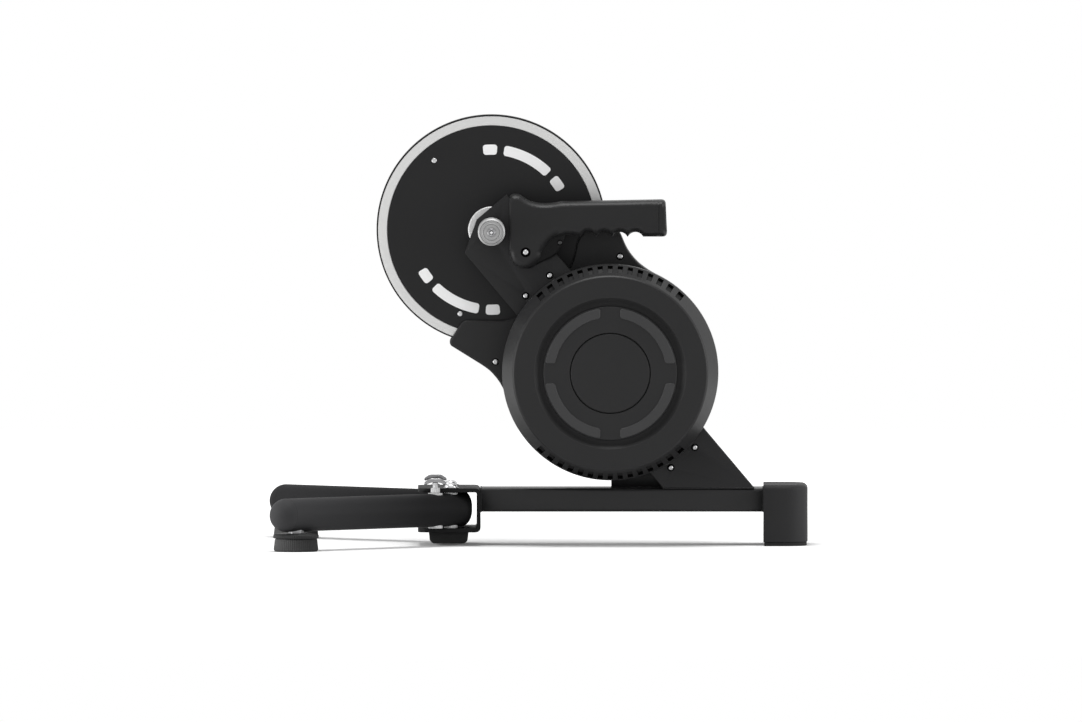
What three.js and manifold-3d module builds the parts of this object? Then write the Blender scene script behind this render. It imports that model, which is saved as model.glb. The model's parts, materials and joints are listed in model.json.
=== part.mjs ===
// A direct drive bike trainer, in millimetres.
// +X points to the rear, +Y to the drive side and +Z up. The origin is on the floor under the middle.
import * as THREE from "three";
import { mergeVertices } from "three/addons/utils/BufferGeometryUtils.js";
import Module from "manifold-3d";

const wasm = await Module();
wasm.setup();

// Clearances and rounding
const gap = 0.3; // between faces that meet, and around whatever turns
const overrun = 2; // how far a cutter passes a face
const fullRound = 32; // sides of a large circle
const midRound = 16;
const smallRound = 12;
const cornerSteps = 4; // steps of a rounded corner
const bevelSteps = 2; // steps of a rounded edge
const domeSteps = 3; // steps of a leg's rounded end
const bigWrapSteps = 30; // steps of the belt round each pulley
const smallWrapSteps = 7;
const guardArcSteps = 14;
const halfTurn = Math.PI;
const quarterTurn = halfTurn / 2;
const degree = halfTurn / 180;

// Main beam, a flat steel tube
const beamWidth = 60;
const beamHeight = 25.4;
const beamWall = 2.5;
const beamCorner = 4;
const beamTop = 61.8;

// Front bracket, bent from one plate into a C that opens to the front
const bracketFront = 130.1; // its front edge ahead of the origin
const bracketDepth = 67.7;
const bracketWidth = 104;
const bracketHeight = 47.6;
const bracketPlate = 4.4;
const bracketBottom = 15;
const bracketCorner = 14; // plan radius of the front corners
const bracketBend = 6; // outer radius of the bends

// Rubber bumper under the bracket
const bumperLength = 43;
const bumperWidth = 60;
const bumperHeight = 12.6;
const bumperTaper = 2.4;
const bumperBack = 13; // its rear face ahead of the bracket's back

// Rear foot
const rearFootLength = 47.9;
const rearFootWidth = 96;
const rearFootTop = 66;
const rearFootEdge = 6;
const rearFootCorner = 32; // plan radius of the rear corners
const rearFootWall = 3.5;
const rearPadHeight = 4;
const rearPadInset = 1;

// Brake housing, on the near plate
const housingRadius = 116.8;
const housingClear = 9.4; // above the beam
const housingFront = 80; // front face, left of the middle
const housingBackThick = 2.7;
const housingWall = 2.5;
const housingRear = 5.4; // depth of the rear shell
const bandDepth = 28; // of the sloping band
const bandWidth = 11; // of the sloping band, across the front
const faceEdge = 1.2;
const recessOuter = 81.4;
const recessInner = 72.4;
const recessDepth = 4.4;
const islandDrop = 1;
const padOuter = 71;
const padInner = 60.5;
const padGapAngle = 10; // half of the gap between two pads, in degrees
const capSeatRadius = 43.5;
const centreCapRadius = 43;
const centreCapThick = 3.2;
const ventCount = 15; // in each of the two rows
const ventPitch = 10.7;
const ventWidth = 4.9;
const ventDepth = 11;
const ventInset = 4.9; // middle of the vents inside the housing's rim
const shaftHoleRadius = 15.5;
const faceRadius = housingRadius - bandWidth; // flat front face
const ventRadius = housingRadius - ventInset;
const shaftEnd = 1.6; // past the small pulley

// Flywheel and brake
const flywheelClear = 14.3; // inside the housing's wall
const flywheelRadius = housingRadius - housingWall - flywheelClear;
const flywheelRim = 17;
const flywheelNear = 68; // near face, left of the middle
const flywheelFar = 40;
const flywheelWeb = 6;
const flywheelHub = 13;
const flywheelHubFoot = 19.5;
const magnetGap = 5;
const coreOuter = flywheelRadius - flywheelRim - magnetGap;
const coreInner = 22;
const coreFar = 50;
const poleCount = 6;
const poleWidth = 18;
const poleShoe = 30;
const poleShoeDepth = 6;
const boardWidth = 38;
const boardThick = 1.6;
const boardAngle = 100; // degrees that the board spans
const boardOuter = flywheelRadius;
const boardInner = boardOuter - boardWidth;

// Side plates, one band of steel each from the axle down to the beam
const plateThick = 5;
const nearPlateOut = 30; // outer face of the near plate, left of the middle
const farPlateIn = 8; // inner face of the far plate, left of the middle
const strutHalfWidth = 37.4;
const strutHead = 19; // how far the band passes the axle
const headNotch = 4.8; // where the chamfer of the head starts, across the band
const farFootBack = 1; // left edge of the far plate's foot, behind the flywheel shaft
const boltMargin = 4.7; // tie bolts outside the brake housing, along the band
const boltSpread = 34; // between the two bolts of a pair
const boltRadius = 3;
const boltHeadRadius = 5;
const boltHeadHeight = 3.2;
const spacerRadius = 8;

// The two shafts
const shaftBack = 77.6; // flywheel shaft behind the origin
const axleAhead = 128.3; // wheel axle ahead of the flywheel shaft
const axleRise = 152; // and above it
const shaftHeight = beamTop + housingClear + housingRadius;
const axleHeight = shaftHeight + axleRise;
const axleForward = axleAhead - shaftBack;
const boltReach = housingRadius + boltMargin; // tie bolts from the flywheel shaft

// Axle and what sits on it
const lockWidth = 135; // between the faces that hold the bike's dropouts
const axleRadius = 6;
const axleBore = 2.6;
const capRadius = 14.7;
const capFaceRadius = 9.8;
const capStep = 1.6;
const noseRadius = 4.4;
const noseLength = 4.5;
const noseBore = 2.2;
const farCapRadius = 11;
const farCapLength = 6;
const farCapSkirt = 1.6;
const bearingRadius = 13;
const bearingWidth = 8;
const bearingInset = 1.6;
const axleSpacerRadius = 10;

// Pulley, hub and freehub on the axle
const pulleyRadius = 122.4;
const pulleyNear = 5; // near face, right of the middle
const pulleyWidth = 19;
const coverDiscRadius = 112.6;
const coverDiscThick = 2.6;
const rimDepth = 5.4; // between the grooves' crests and the rim's inside
const webThick = 4;
const hubCollar = 40;
const hubRadius = 25;
const hubProud = 1.8; // hub face in front of the pulley's
const hubFar = 26.5; // far face, right of the middle
const webHoles = 6;
const webHoleRadius = 24;
const freehubRadius = 17;
const freehubFlange = 21;
const freehubFlangeThick = 3.6;
const splineCount = 9;
const splineHeight = 1.5;
const splineRootShares = [0, 0.3]; // of one spline's turn
const splineTopShares = [0.34, 0.64, 0.96];

// Ribbed belt
const ribPitch = 3.56;
const ribCount = 4;
const ribDepth = 1.8;
const beltThick = 1.3;
const beltGap = 0.4; // between the belt and both pulleys
const smallPulleyRadius = 18.1;
const shaftRadius = 5;

// Belt guard
const guardWall = 2.5;
const guardDepth = 30;
const guardBossRadius = 5;
const guardRadius = 113;
const socketRadius = 7;
const socketBore = 3.2;
const socketDepth = 11;
const socketWall = 1.8;
const socketReach = 82; // from the flywheel shaft
const socketAngle = -35; // degrees

// Carrying handle
const handleNear = 41; // near face, left of the middle
const handleWidth = 40;
const handleEdge = 4;
const endLean = 1.3;
const endCorner = 5;
// The tip's corner in shares of the edge, the head's curve in shares of its length and the edge.
const handleTipShares = [
  [0, 1],
  [0.5, -0.25],
  [3, 0.5],
];
const handleHeadShares = [
  [0.25, 0.8],
  [0.4, 1.6],
  [0.65, 0.5],
];
const throatShare = 1.6; // of the scallops' pitch
// The flange of the head in shares of the lobe's radius, from the lobe's centre.
const cheekShares = [
  [-1, 3],
  [-0.885, -0.5],
  [0, -1.05],
  [0.7, -0.75],
  [1.95, -0.15],
  [2.5, 1],
  [2.5, 3],
];
const handleBack = 189.6; // rear end, behind the axle
const gripTop = 33.5; // above the axle
const gripBottom = -6;
const handleTipHeight = 40.5;
const handleFront = 19.5; // head's front edge, behind the axle
const lobeRadius = 17.3;
const lobeDrop = 23.3; // lobe's centre below the axle
const endCapLength = 8.7;
const scallopCount = 4;
const scallopPitch = 17;
const scallopFirst = 104.6;
const scallopDepth = 5;
const scallopRadius = 9.2;
const cheekThick = 4.7;
const handleGap = 0.4;

// Folding front legs
const legRadius = 18;
const legWall = 2.5;
const legHeight = 39.3;
const legAngle = 40; // out from straight ahead, in degrees
const legReach = 232.9; // from the pivot to the centre of the rounded end
const legInner = 15; // from the pivot to the square end
const pivotForward = 94.4;
const pivotSide = 42;
const pivotBoltRadius = 4.8;
const pivotSleeveWall = 3;
const pivotHeadRadius = 6.9;
const pivotHeadHeight = 5.4;
const pivotHeadShares = [[1, 0.3], [0.8, 0.75]]; // dome of the head, outward and upward
const lockReach = 22; // from the pivot to the lock pin
const lockPinRadius = 3;
const lockSleeveWall = 4.6;
const plungerRadius = 5;
const plungerRise = 0.8; // sleeve above the bracket
const pinTravel = 5.5;
const toggleLength = 24.5;
const toggleWidth = 7;
const toggleHeight = 6.6;
const toggleArch = 4;
const toggleTop = 73.4;

// Levelling feet
const footInset = 14.4; // from the centre of the leg's rounded end
const footReach = legReach - footInset;
const footHeight = 19.2;
const footFlangeRadius = 24.7;
const footFlangeHeight = 4.9;
const footConeTop = 22.3;
const footConeBottom = 24.6;
const footToe = 2.3;
const footBevel = 1.6;
const studRadius = 5;
const insertRadius = 8;
const insertHeight = 13;

// Finishes: colour, roughness, metalness
const finishes = {
  blackSteel: [0x1c1c1d, 0.55, 0.2],
  blackPlastic: [0x1a1a1b, 0.6, 0],
  blackRubber: [0x131313, 0.85, 0],
  belt: [0x0f0f10, 0.8, 0],
  silver: [0xb9babc, 0.35, 1],
  chrome: [0xd8d9da, 0.15, 1],
  rim: [0xc8c8c6, 0.45, 0.6],
  iron: [0x55565a, 0.5, 0.9],
  copper: [0xa2623a, 0.4, 0.8],
  board: [0x1d5a38, 0.6, 0],
};

const shaftDistance = Math.hypot(axleAhead, axleRise);
const strutAngle = Math.atan2(-axleRise, axleAhead);
const halfLength = pivotForward + legReach * Math.cos(legAngle * degree) + legRadius;

// Solids and geometry

// A closed geometry as a solid that can be joined and cut.
function solid(geometry) {
  const bare = geometry.clone();
  bare.deleteAttribute("normal");
  bare.deleteAttribute("uv");
  const merged = mergeVertices(bare, 1e-4);
  return new wasm.Manifold(
    new wasm.Mesh({
      numProp: 3,
      vertProperties: new Float32Array(merged.attributes.position.array),
      triVerts: new Uint32Array(merged.index.array),
    }),
  );
}

function geometryOf(body) {
  const mesh = body.getMesh();
  const geometry = new THREE.BufferGeometry();
  geometry.setAttribute("position", new THREE.BufferAttribute(mesh.vertProperties, 3));
  geometry.setIndex(new THREE.BufferAttribute(mesh.triVerts, 1));
  const flat = geometry.toNonIndexed();
  flat.computeVertexNormals();
  return flat;
}

function cut(body, ...cutters) {
  return cutters.reduce((left, cutter) => left.subtract(solid(cutter)), body);
}

function join(body, ...added) {
  return added.reduce((whole, one) => whole.add(solid(one)), body);
}

function piece(name, shape, finish) {
  const [color, roughness, metalness] = finishes[finish];
  const material = new THREE.MeshStandardMaterial({ color, roughness, metalness });
  const mesh = new THREE.Mesh(shape.isBufferGeometry ? shape : geometryOf(shape), material);
  mesh.name = name;
  return mesh;
}

// A profile of [radius, height] points turned about the Y axis.
function revolve(profile, sides) {
  const area = profile.reduce((sum, [r, y], i) => {
    const [nextR, nextY] = profile[(i + 1) % profile.length];
    return sum + r * nextY - nextR * y;
  }, 0);
  const points = (area > 0 ? profile : [...profile].reverse()).map(([r, y]) => new THREE.Vector2(r, y));
  const start = points.findIndex((p, i) => p.x === 0 && points.at(i - 1).x === 0);
  if (start < 0) return new THREE.LatheGeometry([...points, points[0]], sides);
  return new THREE.LatheGeometry([...points.slice(start), ...points.slice(0, start)], sides);
}

function diskY(radius, near, far, sides = midRound) {
  return new THREE.CylinderGeometry(radius, radius, far - near, sides).translate(0, (near + far) / 2, 0);
}

function diskZ(radius, low, high, sides = midRound) {
  const disk = new THREE.CylinderGeometry(radius, radius, high - low, sides);
  return disk.rotateX(quarterTurn).translate(0, 0, (low + high) / 2);
}

function box(x0, x1, y0, y1, z0, z1) {
  const block = new THREE.BoxGeometry(x1 - x0, y1 - y0, z1 - z0);
  return block.translate((x0 + x1) / 2, (y0 + y1) / 2, (z0 + z1) / 2);
}

// A closed outline through corners, each rounded by its own radius.
function rounded(corners, radii) {
  const shape = new THREE.Shape();
  corners.forEach((corner, i) => {
    const radius = Array.isArray(radii) ? radii[i] : radii;
    const here = new THREE.Vector2(...corner);
    const before = new THREE.Vector2(...corners.at(i - 1)).sub(here);
    const after = new THREE.Vector2(...corners[(i + 1) % corners.length]).sub(here);
    const reach = Math.min(radius, before.length() / 2, after.length() / 2);
    const enter = before.setLength(reach).add(here);
    const leave = after.setLength(reach).add(here);
    if (i) shape.lineTo(enter.x, enter.y);
    else shape.moveTo(enter.x, enter.y);
    if (reach > 0) shape.quadraticCurveTo(here.x, here.y, leave.x, leave.y);
  });
  shape.closePath();
  return shape;
}

function rectangle(width, height, corner) {
  const w = width / 2;
  const h = height / 2;
  return rounded([[-w, -h], [w, -h], [w, h], [-w, h]], corner);
}

// A shape drawn in X and Z, given a thickness along Y.
function slab(shape, near, far, edge = 0) {
  const geometry = new THREE.ExtrudeGeometry(shape, {
    depth: far - near - 2 * edge,
    curveSegments: cornerSteps,
    bevelEnabled: edge > 0,
    bevelThickness: edge,
    bevelSize: edge,
    bevelOffset: -edge,
    bevelSegments: bevelSteps,
  });
  return geometry.rotateX(quarterTurn).translate(0, far - edge, 0);
}

// A shape drawn in X and Y, raised along Z.
function prism(shape, low, high, edge = 0) {
  const geometry = new THREE.ExtrudeGeometry(shape, {
    depth: high - low - 2 * edge,
    curveSegments: cornerSteps,
    bevelEnabled: edge > 0,
    bevelThickness: edge,
    bevelSize: edge,
    bevelOffset: -edge,
    bevelSegments: bevelSteps,
  });
  return geometry.translate(0, 0, low + edge);
}

// A place on the band of the side plates: along it from the axle, and across it to the front.
function strutPoint(along, across) {
  const x = Math.cos(strutAngle) * along + Math.sin(strutAngle) * across;
  const z = Math.sin(strutAngle) * along - Math.cos(strutAngle) * across;
  return [x - axleForward, z + axleHeight];
}

// Where an edge of the band, at this distance across, reaches a height.
function strutFoot(across, height) {
  const [, start] = strutPoint(0, across);
  return strutPoint((height - start) / Math.sin(strutAngle), across);
}

// Frame: beam, bracket, rear foot

function mainBeam() {
  const front = -bracketFront + bracketDepth + gap;
  const back = halfLength - rearFootLength - gap;
  const shape = rectangle(beamWidth, beamHeight, beamCorner);
  const inside = rectangle(beamWidth - 2 * beamWall, beamHeight - 2 * beamWall, beamCorner - beamWall);
  shape.holes.push(new THREE.Path(inside.getPoints(cornerSteps)));
  const tube = new THREE.ExtrudeGeometry(shape, {
    depth: back - front,
    bevelEnabled: false,
    curveSegments: cornerSteps,
  });
  tube.rotateX(quarterTurn).rotateZ(quarterTurn).translate(front, 0, beamTop - beamHeight / 2);
  return piece("main_beam", tube, "blackSteel");
}

function frontBracket() {
  const back = -bracketFront + bracketDepth;
  const top = bracketBottom + bracketHeight;
  const inner = bracketBend - bracketPlate;
  const outer = rounded(
    [[-bracketFront, bracketBottom], [back, bracketBottom], [back, top], [-bracketFront, top]],
    [0, bracketBend, bracketBend, 0],
  );
  const mouth = rounded(
    [
      [-bracketFront - overrun, bracketBottom + bracketPlate],
      [back - bracketPlate, bracketBottom + bracketPlate],
      [back - bracketPlate, top - bracketPlate],
      [-bracketFront - overrun, top - bracketPlate],
    ],
    [0, inner, inner, 0],
  );
  const half = bracketWidth / 2;
  const plan = rounded(
    [[-bracketFront, -half], [back, -half], [back, half], [-bracketFront, half]],
    [bracketCorner, 0, 0, bracketCorner],
  );
  let body = cut(solid(slab(outer, -half, half)), slab(mouth, -half - overrun, half + overrun));
  body = body.intersect(solid(prism(plan, bracketBottom - overrun, top + overrun)));
  for (const side of [-1, 1]) {
    const bolt = diskZ(pivotBoltRadius + gap, bracketBottom - overrun, top + overrun, smallRound);
    const sleeve = diskZ(plungerRadius + gap, top - bracketPlate - overrun, top + overrun, smallRound);
    const lock = lockPlace(side);
    body = cut(body, bolt.translate(-pivotForward, side * pivotSide, 0), sleeve.translate(...lock, 0));
  }
  return piece("front_bracket", body, "blackSteel");
}

function centreBumper() {
  const back = -bracketFront + bracketDepth - bumperBack;
  const top = bracketBottom - gap;
  const low = top - bumperHeight;
  const shape = rounded(
    [
      [back - bumperLength, top],
      [back - bumperLength + bumperTaper, low],
      [back - bumperTaper, low],
      [back, top],
    ],
    [0, bumperTaper, bumperTaper, 0],
  );
  return piece("centre_bumper", slab(shape, -bumperWidth / 2, bumperWidth / 2), "blackRubber");
}

// Square at the front, where the beam ends, and well rounded behind.
function rearFootOutline(inset, lead = 0) {
  const front = halfLength - rearFootLength + inset - lead;
  const back = halfLength - inset;
  const half = rearFootWidth / 2 - inset;
  const corner = rearFootCorner - inset;
  return rounded([[front, -half], [back, -half], [back, half], [front, half]], [0, corner, corner, 0]);
}

function rearFoot() {
  const low = rearPadHeight + gap;
  const outline = rearFootOutline(0, rearFootEdge);
  const block = solid(prism(outline, low - rearFootEdge, rearFootTop, rearFootEdge));
  const hollow = prism(rearFootOutline(rearFootWall), low - overrun, rearFootTop - rearFootWall);
  const far = 2 * rearFootWidth;
  const under = box(-far, 2 * far, -far, far, low - rearFootWidth, low);
  const ahead = box(-far, halfLength - rearFootLength, -far, far, -far, far);
  const shell = cut(block, under, ahead, hollow);
  const pad = prism(rearFootOutline(rearPadInset), 0, rearPadHeight);
  return [piece("rear_foot_shell", shell, "blackPlastic"), piece("rear_foot_pad", pad, "blackRubber")];
}

// Side plates and what ties them

function boltPlaces() {
  const places = [];
  for (const end of [-1, 1]) {
    for (const side of [-1, 1]) {
      places.push(strutPoint(shaftDistance + end * boltReach, (side * boltSpread) / 2));
    }
  }
  return places;
}

function plate(shape, near) {
  const far = near + plateThick;
  const hole = (radius, sides, x, z) =>
    diskY(radius + gap, near - overrun, far + overrun, sides).translate(x, 0, z);
  return cut(
    solid(slab(shape, near, far)),
    hole(axleRadius, midRound, -axleForward, axleHeight),
    hole(bearingRadius, midRound, shaftBack, shaftHeight),
    ...boltPlaces().map(([x, z]) => hole(boltRadius, smallRound, x, z)),
  );
}

function sidePlates() {
  const foot = beamTop + gap;
  const head = [
    strutPoint(-strutHead, -strutHalfWidth),
    strutPoint(-strutHead, headNotch),
    strutPoint(0, strutHalfWidth),
  ];
  const frontFoot = strutFoot(strutHalfWidth, foot);
  const backFoot = strutFoot(-strutHalfWidth, foot);
  const near = rounded([...head, frontFoot, backFoot], 0);
  const footX = shaftBack + farFootBack;
  const [edgeX] = strutPoint(0, strutHalfWidth);
  const kink = strutPoint((footX - edgeX) / Math.cos(strutAngle), strutHalfWidth);
  const far = rounded([...head, kink, [footX, foot], backFoot], 0);
  return [
    piece("near_side_plate", plate(near, -nearPlateOut), "blackSteel"),
    piece("far_side_plate", plate(far, -farPlateIn), "blackSteel"),
  ];
}

function plateTies() {
  const nearIn = -nearPlateOut + plateThick;
  const farOut = -farPlateIn + plateThick;
  return boltPlaces().flatMap(([x, z], i) => {
    const spacer = revolve(
      [
        [boltRadius + gap, nearIn + gap],
        [spacerRadius, nearIn + gap],
        [spacerRadius, -farPlateIn - gap],
        [boltRadius + gap, -farPlateIn - gap],
      ],
      smallRound,
    );
    const under = -nearPlateOut - gap;
    const bolt = revolve(
      [
        [0, under - boltHeadHeight],
        [boltHeadRadius / 2, under - boltHeadHeight],
        [boltHeadRadius, under],
        [boltRadius, under],
        [boltRadius, farOut],
        [0, farOut],
      ],
      smallRound,
    );
    return [
      piece(`plate_spacer_${i + 1}`, spacer.translate(x, 0, z), "iron"),
      piece(`frame_bolt_${i + 1}`, bolt.translate(x, 0, z), "chrome"),
    ];
  });
}

// Axle, bearings, hub and pulley, drawn about the axle

function bearing(bore, near) {
  const far = near + bearingWidth;
  const inner = bore + gap;
  return revolve([[inner, near], [bearingRadius, near], [bearingRadius, far], [inner, far]], midRound);
}

function axleLine() {
  const half = lockWidth / 2;
  const seat = half - farCapLength;
  const axle = revolve(
    [[axleBore, -seat], [axleRadius, -seat], [axleRadius, seat], [axleBore, seat]],
    midRound,
  );
  const nearCap = revolve(
    [
      [noseBore, -half - noseLength],
      [noseRadius, -half - noseLength],
      [noseRadius, -half],
      [capFaceRadius, -half],
      [capFaceRadius, -half + capStep],
      [capRadius - capStep, -half + capStep],
      [capRadius, -half + 2 * capStep],
      [capRadius, -nearPlateOut - gap],
      [axleRadius + gap, -nearPlateOut - gap],
      [axleRadius + gap, -seat - gap],
      [noseBore, -seat - gap],
    ],
    midRound,
  );
  const farCap = revolve(
    [
      [noseBore, half + noseLength],
      [noseRadius, half + noseLength],
      [noseRadius, half],
      [farCapRadius, half],
      [farCapRadius, freehubFar() + gap],
      [axleRadius + gap, freehubFar() + gap],
      [axleRadius + gap, seat + gap],
      [noseBore, seat + gap],
    ],
    midRound,
  );
  const spacer = revolve(
    [
      [axleRadius + gap, -nearPlateOut + plateThick + gap],
      [axleSpacerRadius, -nearPlateOut + plateThick + gap],
      [axleSpacerRadius, -farPlateIn - gap],
      [axleRadius + gap, -farPlateIn - gap],
    ],
    midRound,
  );
  const nearBearing = bearing(axleRadius, pulleyNear - hubProud + bearingInset);
  const farBearing = bearing(axleRadius, freehubFar() - bearingWidth - bearingInset);
  return [
    piece("axle", axle, "iron"),
    piece("near_axle_cap", nearCap, "silver"),
    piece("far_axle_cap", farCap, "silver"),
    piece("axle_spacer", spacer, "iron"),
    piece("near_axle_bearing", nearBearing, "silver"),
    piece("far_axle_bearing", farBearing, "silver"),
  ];
}

function freehubFar() {
  return lockWidth / 2 - farCapLength + farCapSkirt;
}

// The V ribs or grooves of a belt drive, across its width: between the crest line and the floor.
function grooves(crest, near) {
  const points = [[crest, near]];
  for (let i = 0; i < ribCount; i += 1) {
    points.push([crest - ribDepth, near + i * ribPitch + ribPitch / 2]);
    points.push([crest, near + (i + 1) * ribPitch]);
  }
  return points;
}

function beltNear() {
  return pulleyNear + (pulleyWidth - ribCount * ribPitch) / 2;
}

function drivePulley() {
  const near = pulleyNear;
  const far = near + pulleyWidth;
  const ledge = near + coverDiscThick + gap;
  const web = ledge + webThick;
  const pocket = coverDiscRadius + gap;
  const rimInside = pulleyRadius - ribDepth - rimDepth;
  const bore = hubRadius + gap;
  const body = solid(
    revolve(
      [
        [bore, ledge],
        [pocket, ledge],
        [pocket, near],
        [pulleyRadius, near],
        ...grooves(pulleyRadius, beltNear()),
        [pulleyRadius, far],
        [rimInside, far],
        [rimInside, web],
        [hubCollar, web],
        [hubCollar, far],
        [bore, far],
      ],
      fullRound,
    ),
  );
  const holes = [];
  const ring = (hubCollar + rimInside) / 2;
  for (let i = 0; i < webHoles; i += 1) {
    const angle = (i / webHoles) * 2 * halfTurn;
    const hole = diskY(webHoleRadius, ledge - overrun, web + overrun, smallRound);
    holes.push(hole.translate(ring * Math.cos(angle), 0, ring * Math.sin(angle)));
  }
  const disc = revolve(
    [
      [bore, near],
      [coverDiscRadius, near],
      [coverDiscRadius, near + coverDiscThick],
      [bore, near + coverDiscThick],
    ],
    fullRound,
  );
  const hub = revolve(
    [
      [bearingRadius + gap, near - hubProud],
      [hubRadius, near - hubProud],
      [hubRadius, hubFar],
      [bearingRadius + gap, hubFar],
    ],
    midRound,
  );
  return [
    piece("drive_pulley", cut(body, ...holes), "rim"),
    piece("cover_disc", disc, "blackPlastic"),
    piece("pulley_hub", hub, "silver"),
  ];
}

function freehub() {
  const near = hubFar + gap;
  const far = freehubFar();
  const step = (2 * halfTurn) / splineCount;
  const corner = (i, share, radius) => {
    const angle = (i + share) * step;
    return [Math.cos(angle) * radius, Math.sin(angle) * radius];
  };
  const corners = [];
  for (let i = 0; i < splineCount; i += 1) {
    splineRootShares.forEach((share) => corners.push(corner(i, share, freehubRadius - splineHeight)));
    splineTopShares.forEach((share) => corners.push(corner(i, share, freehubRadius)));
  }
  const shape = rounded(corners, 0);
  let body = solid(slab(shape, near + freehubFlangeThick / 2, far));
  body = join(body, diskY(freehubFlange, near, near + freehubFlangeThick));
  body = cut(body, diskY(bearingRadius + gap, near - overrun, far + overrun));
  return piece("freehub_body", body, "iron");
}

// Flywheel shaft line, drawn about that shaft

function flywheelLine() {
  const rimInner = flywheelRadius - flywheelRim;
  const flywheel = revolve(
    [
      [shaftRadius + gap, -flywheelFar - flywheelWeb - flywheelWeb],
      [flywheelHub, -flywheelFar - flywheelWeb - flywheelWeb],
      [flywheelHubFoot, -flywheelFar - flywheelWeb],
      [rimInner, -flywheelFar - flywheelWeb],
      [rimInner, -flywheelNear],
      [flywheelRadius, -flywheelNear],
      [flywheelRadius, -flywheelFar],
      [shaftRadius + gap, -flywheelFar],
    ],
    fullRound,
  );
  const shaftNear = -flywheelFar - flywheelWeb - flywheelWeb;
  const shaftFar = pulleyNear + pulleyWidth + shaftEnd;
  const near = pulleyNear;
  const far = near + pulleyWidth;
  const pulley = revolve(
    [
      [shaftRadius + gap, near],
      [smallPulleyRadius, near],
      ...grooves(smallPulleyRadius, beltNear()),
      [smallPulleyRadius, far],
      [shaftRadius + gap, far],
    ],
    midRound,
  );
  return [
    piece("flywheel", flywheel, "iron"),
    piece("flywheel_shaft", diskY(shaftRadius, shaftNear, shaftFar), "silver"),
    piece("small_pulley", pulley, "silver"),
  ];
}

function shaftBearings() {
  const nearPlate = -nearPlateOut + plateThick / 2;
  const farPlate = -farPlateIn + plateThick / 2;
  return [
    piece("near_shaft_bearing", bearing(shaftRadius, nearPlate - bearingWidth / 2), "silver"),
    piece("far_shaft_bearing", bearing(shaftRadius, farPlate - bearingWidth / 2), "silver"),
  ];
}

// Brake housing, drawn about the flywheel shaft

function arcShape(inner, outer, from, to) {
  const shape = new THREE.Shape();
  shape.absarc(0, 0, outer, from, to, false);
  shape.absarc(0, 0, inner, to, from, true);
  shape.closePath();
  return shape;
}

function housingCover() {
  const front = -housingFront;
  const bandFar = front + faceEdge + bandDepth;
  const back = -nearPlateOut - housingRear - gap;
  const inside = front + housingWall;
  const island = front + islandDrop;
  const floor = front + recessDepth;
  const seat = island + centreCapThick;
  const wall = housingWall;
  let body = solid(
    revolve(
      [
        [0, seat],
        [capSeatRadius, seat],
        [capSeatRadius, island],
        [recessInner - islandDrop, island],
        [recessInner, island + islandDrop],
        [recessInner, floor],
        [recessOuter, floor],
        [recessOuter, island],
        [recessOuter + islandDrop, front],
        [faceRadius - faceEdge, front],
        [faceRadius, front + faceEdge],
        [housingRadius, bandFar],
        [housingRadius, back],
        [housingRadius - wall, back],
        [housingRadius - wall, bandFar],
        [faceRadius - wall, inside],
        [recessOuter + wall, inside],
        [recessOuter + wall, floor + wall],
        [0, floor + wall],
      ],
      fullRound,
    ),
  );
  const slots = [];
  const ventShare = (ventRadius - faceRadius) / (housingRadius - faceRadius);
  const bandMiddle = front + faceEdge + bandDepth * ventShare;
  for (let i = 0; i < ventCount; i += 1) {
    const x = (i - (ventCount - 1) / 2) * ventPitch;
    const high = Math.sqrt(ventRadius ** 2 - x ** 2);
    const reach = (housingRadius - ventRadius) * 2;
    for (const side of [-1, 1]) {
      const slot = new THREE.BoxGeometry(ventWidth, ventDepth, 2 * reach);
      slots.push(slot.translate(x, bandMiddle, side * high));
    }
  }
  body = cut(body, ...slots);
  const pads = [];
  for (let i = 0; i < 4; i += 1) {
    const from = i * quarterTurn + padGapAngle * degree;
    const to = (i + 1) * quarterTurn - padGapAngle * degree;
    pads.push(slab(arcShape(padInner, padOuter, from, to), front, island + islandDrop / 2));
  }
  body = join(body, ...pads);
  const cap = revolve(
    [
      [0, island],
      [centreCapRadius - islandDrop / 2, island],
      [centreCapRadius, island + islandDrop / 2],
      [centreCapRadius, seat - gap],
      [0, seat - gap],
    ],
    fullRound,
  );
  return [piece("housing_cover", body, "blackPlastic"), piece("centre_cap", cap, "blackPlastic")];
}

function housingInside() {
  const rear = -nearPlateOut - gap;
  const lip = rear - housingRear + gap;
  const shell = revolve(
    [
      [shaftHoleRadius, rear],
      [shaftHoleRadius, rear - housingBackThick],
      [housingRadius - housingWall, rear - housingBackThick],
      [housingRadius - housingWall, lip],
      [housingRadius, lip],
      [housingRadius - faceEdge, rear],
    ],
    fullRound,
  );
  const half = (boardAngle / 2) * degree;
  const boardFar = rear - housingBackThick - gap;
  const board = slab(arcShape(boardInner, boardOuter, -half, half), boardFar - boardThick, boardFar);
  return [
    piece("brake_housing", shell, "blackPlastic"),
    piece("control_board", board, "board"),
    piece("brake_core", brakeCore(), "copper"),
  ];
}

// Six wound poles on a ring, with a shoe at each end.
function brakeCore() {
  const near = -housingFront + recessDepth + housingWall + gap;
  let body = solid(
    revolve(
      [[shaftHoleRadius, near], [coreInner, near], [coreInner, -coreFar], [shaftHoleRadius, -coreFar]],
      midRound,
    ),
  );
  for (let i = 0; i < poleCount; i += 1) {
    const angle = (i / poleCount) * 2 * halfTurn;
    const start = (shaftHoleRadius + coreInner) / 2;
    const pole = box(start, coreOuter, near, -coreFar, -poleWidth / 2, poleWidth / 2);
    const shoe = box(coreOuter - poleShoeDepth, coreOuter, near, -coreFar, -poleShoe / 2, poleShoe / 2);
    body = join(body, pole.rotateY(angle), shoe.rotateY(angle));
  }
  return body;
}

// Belt

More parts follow.
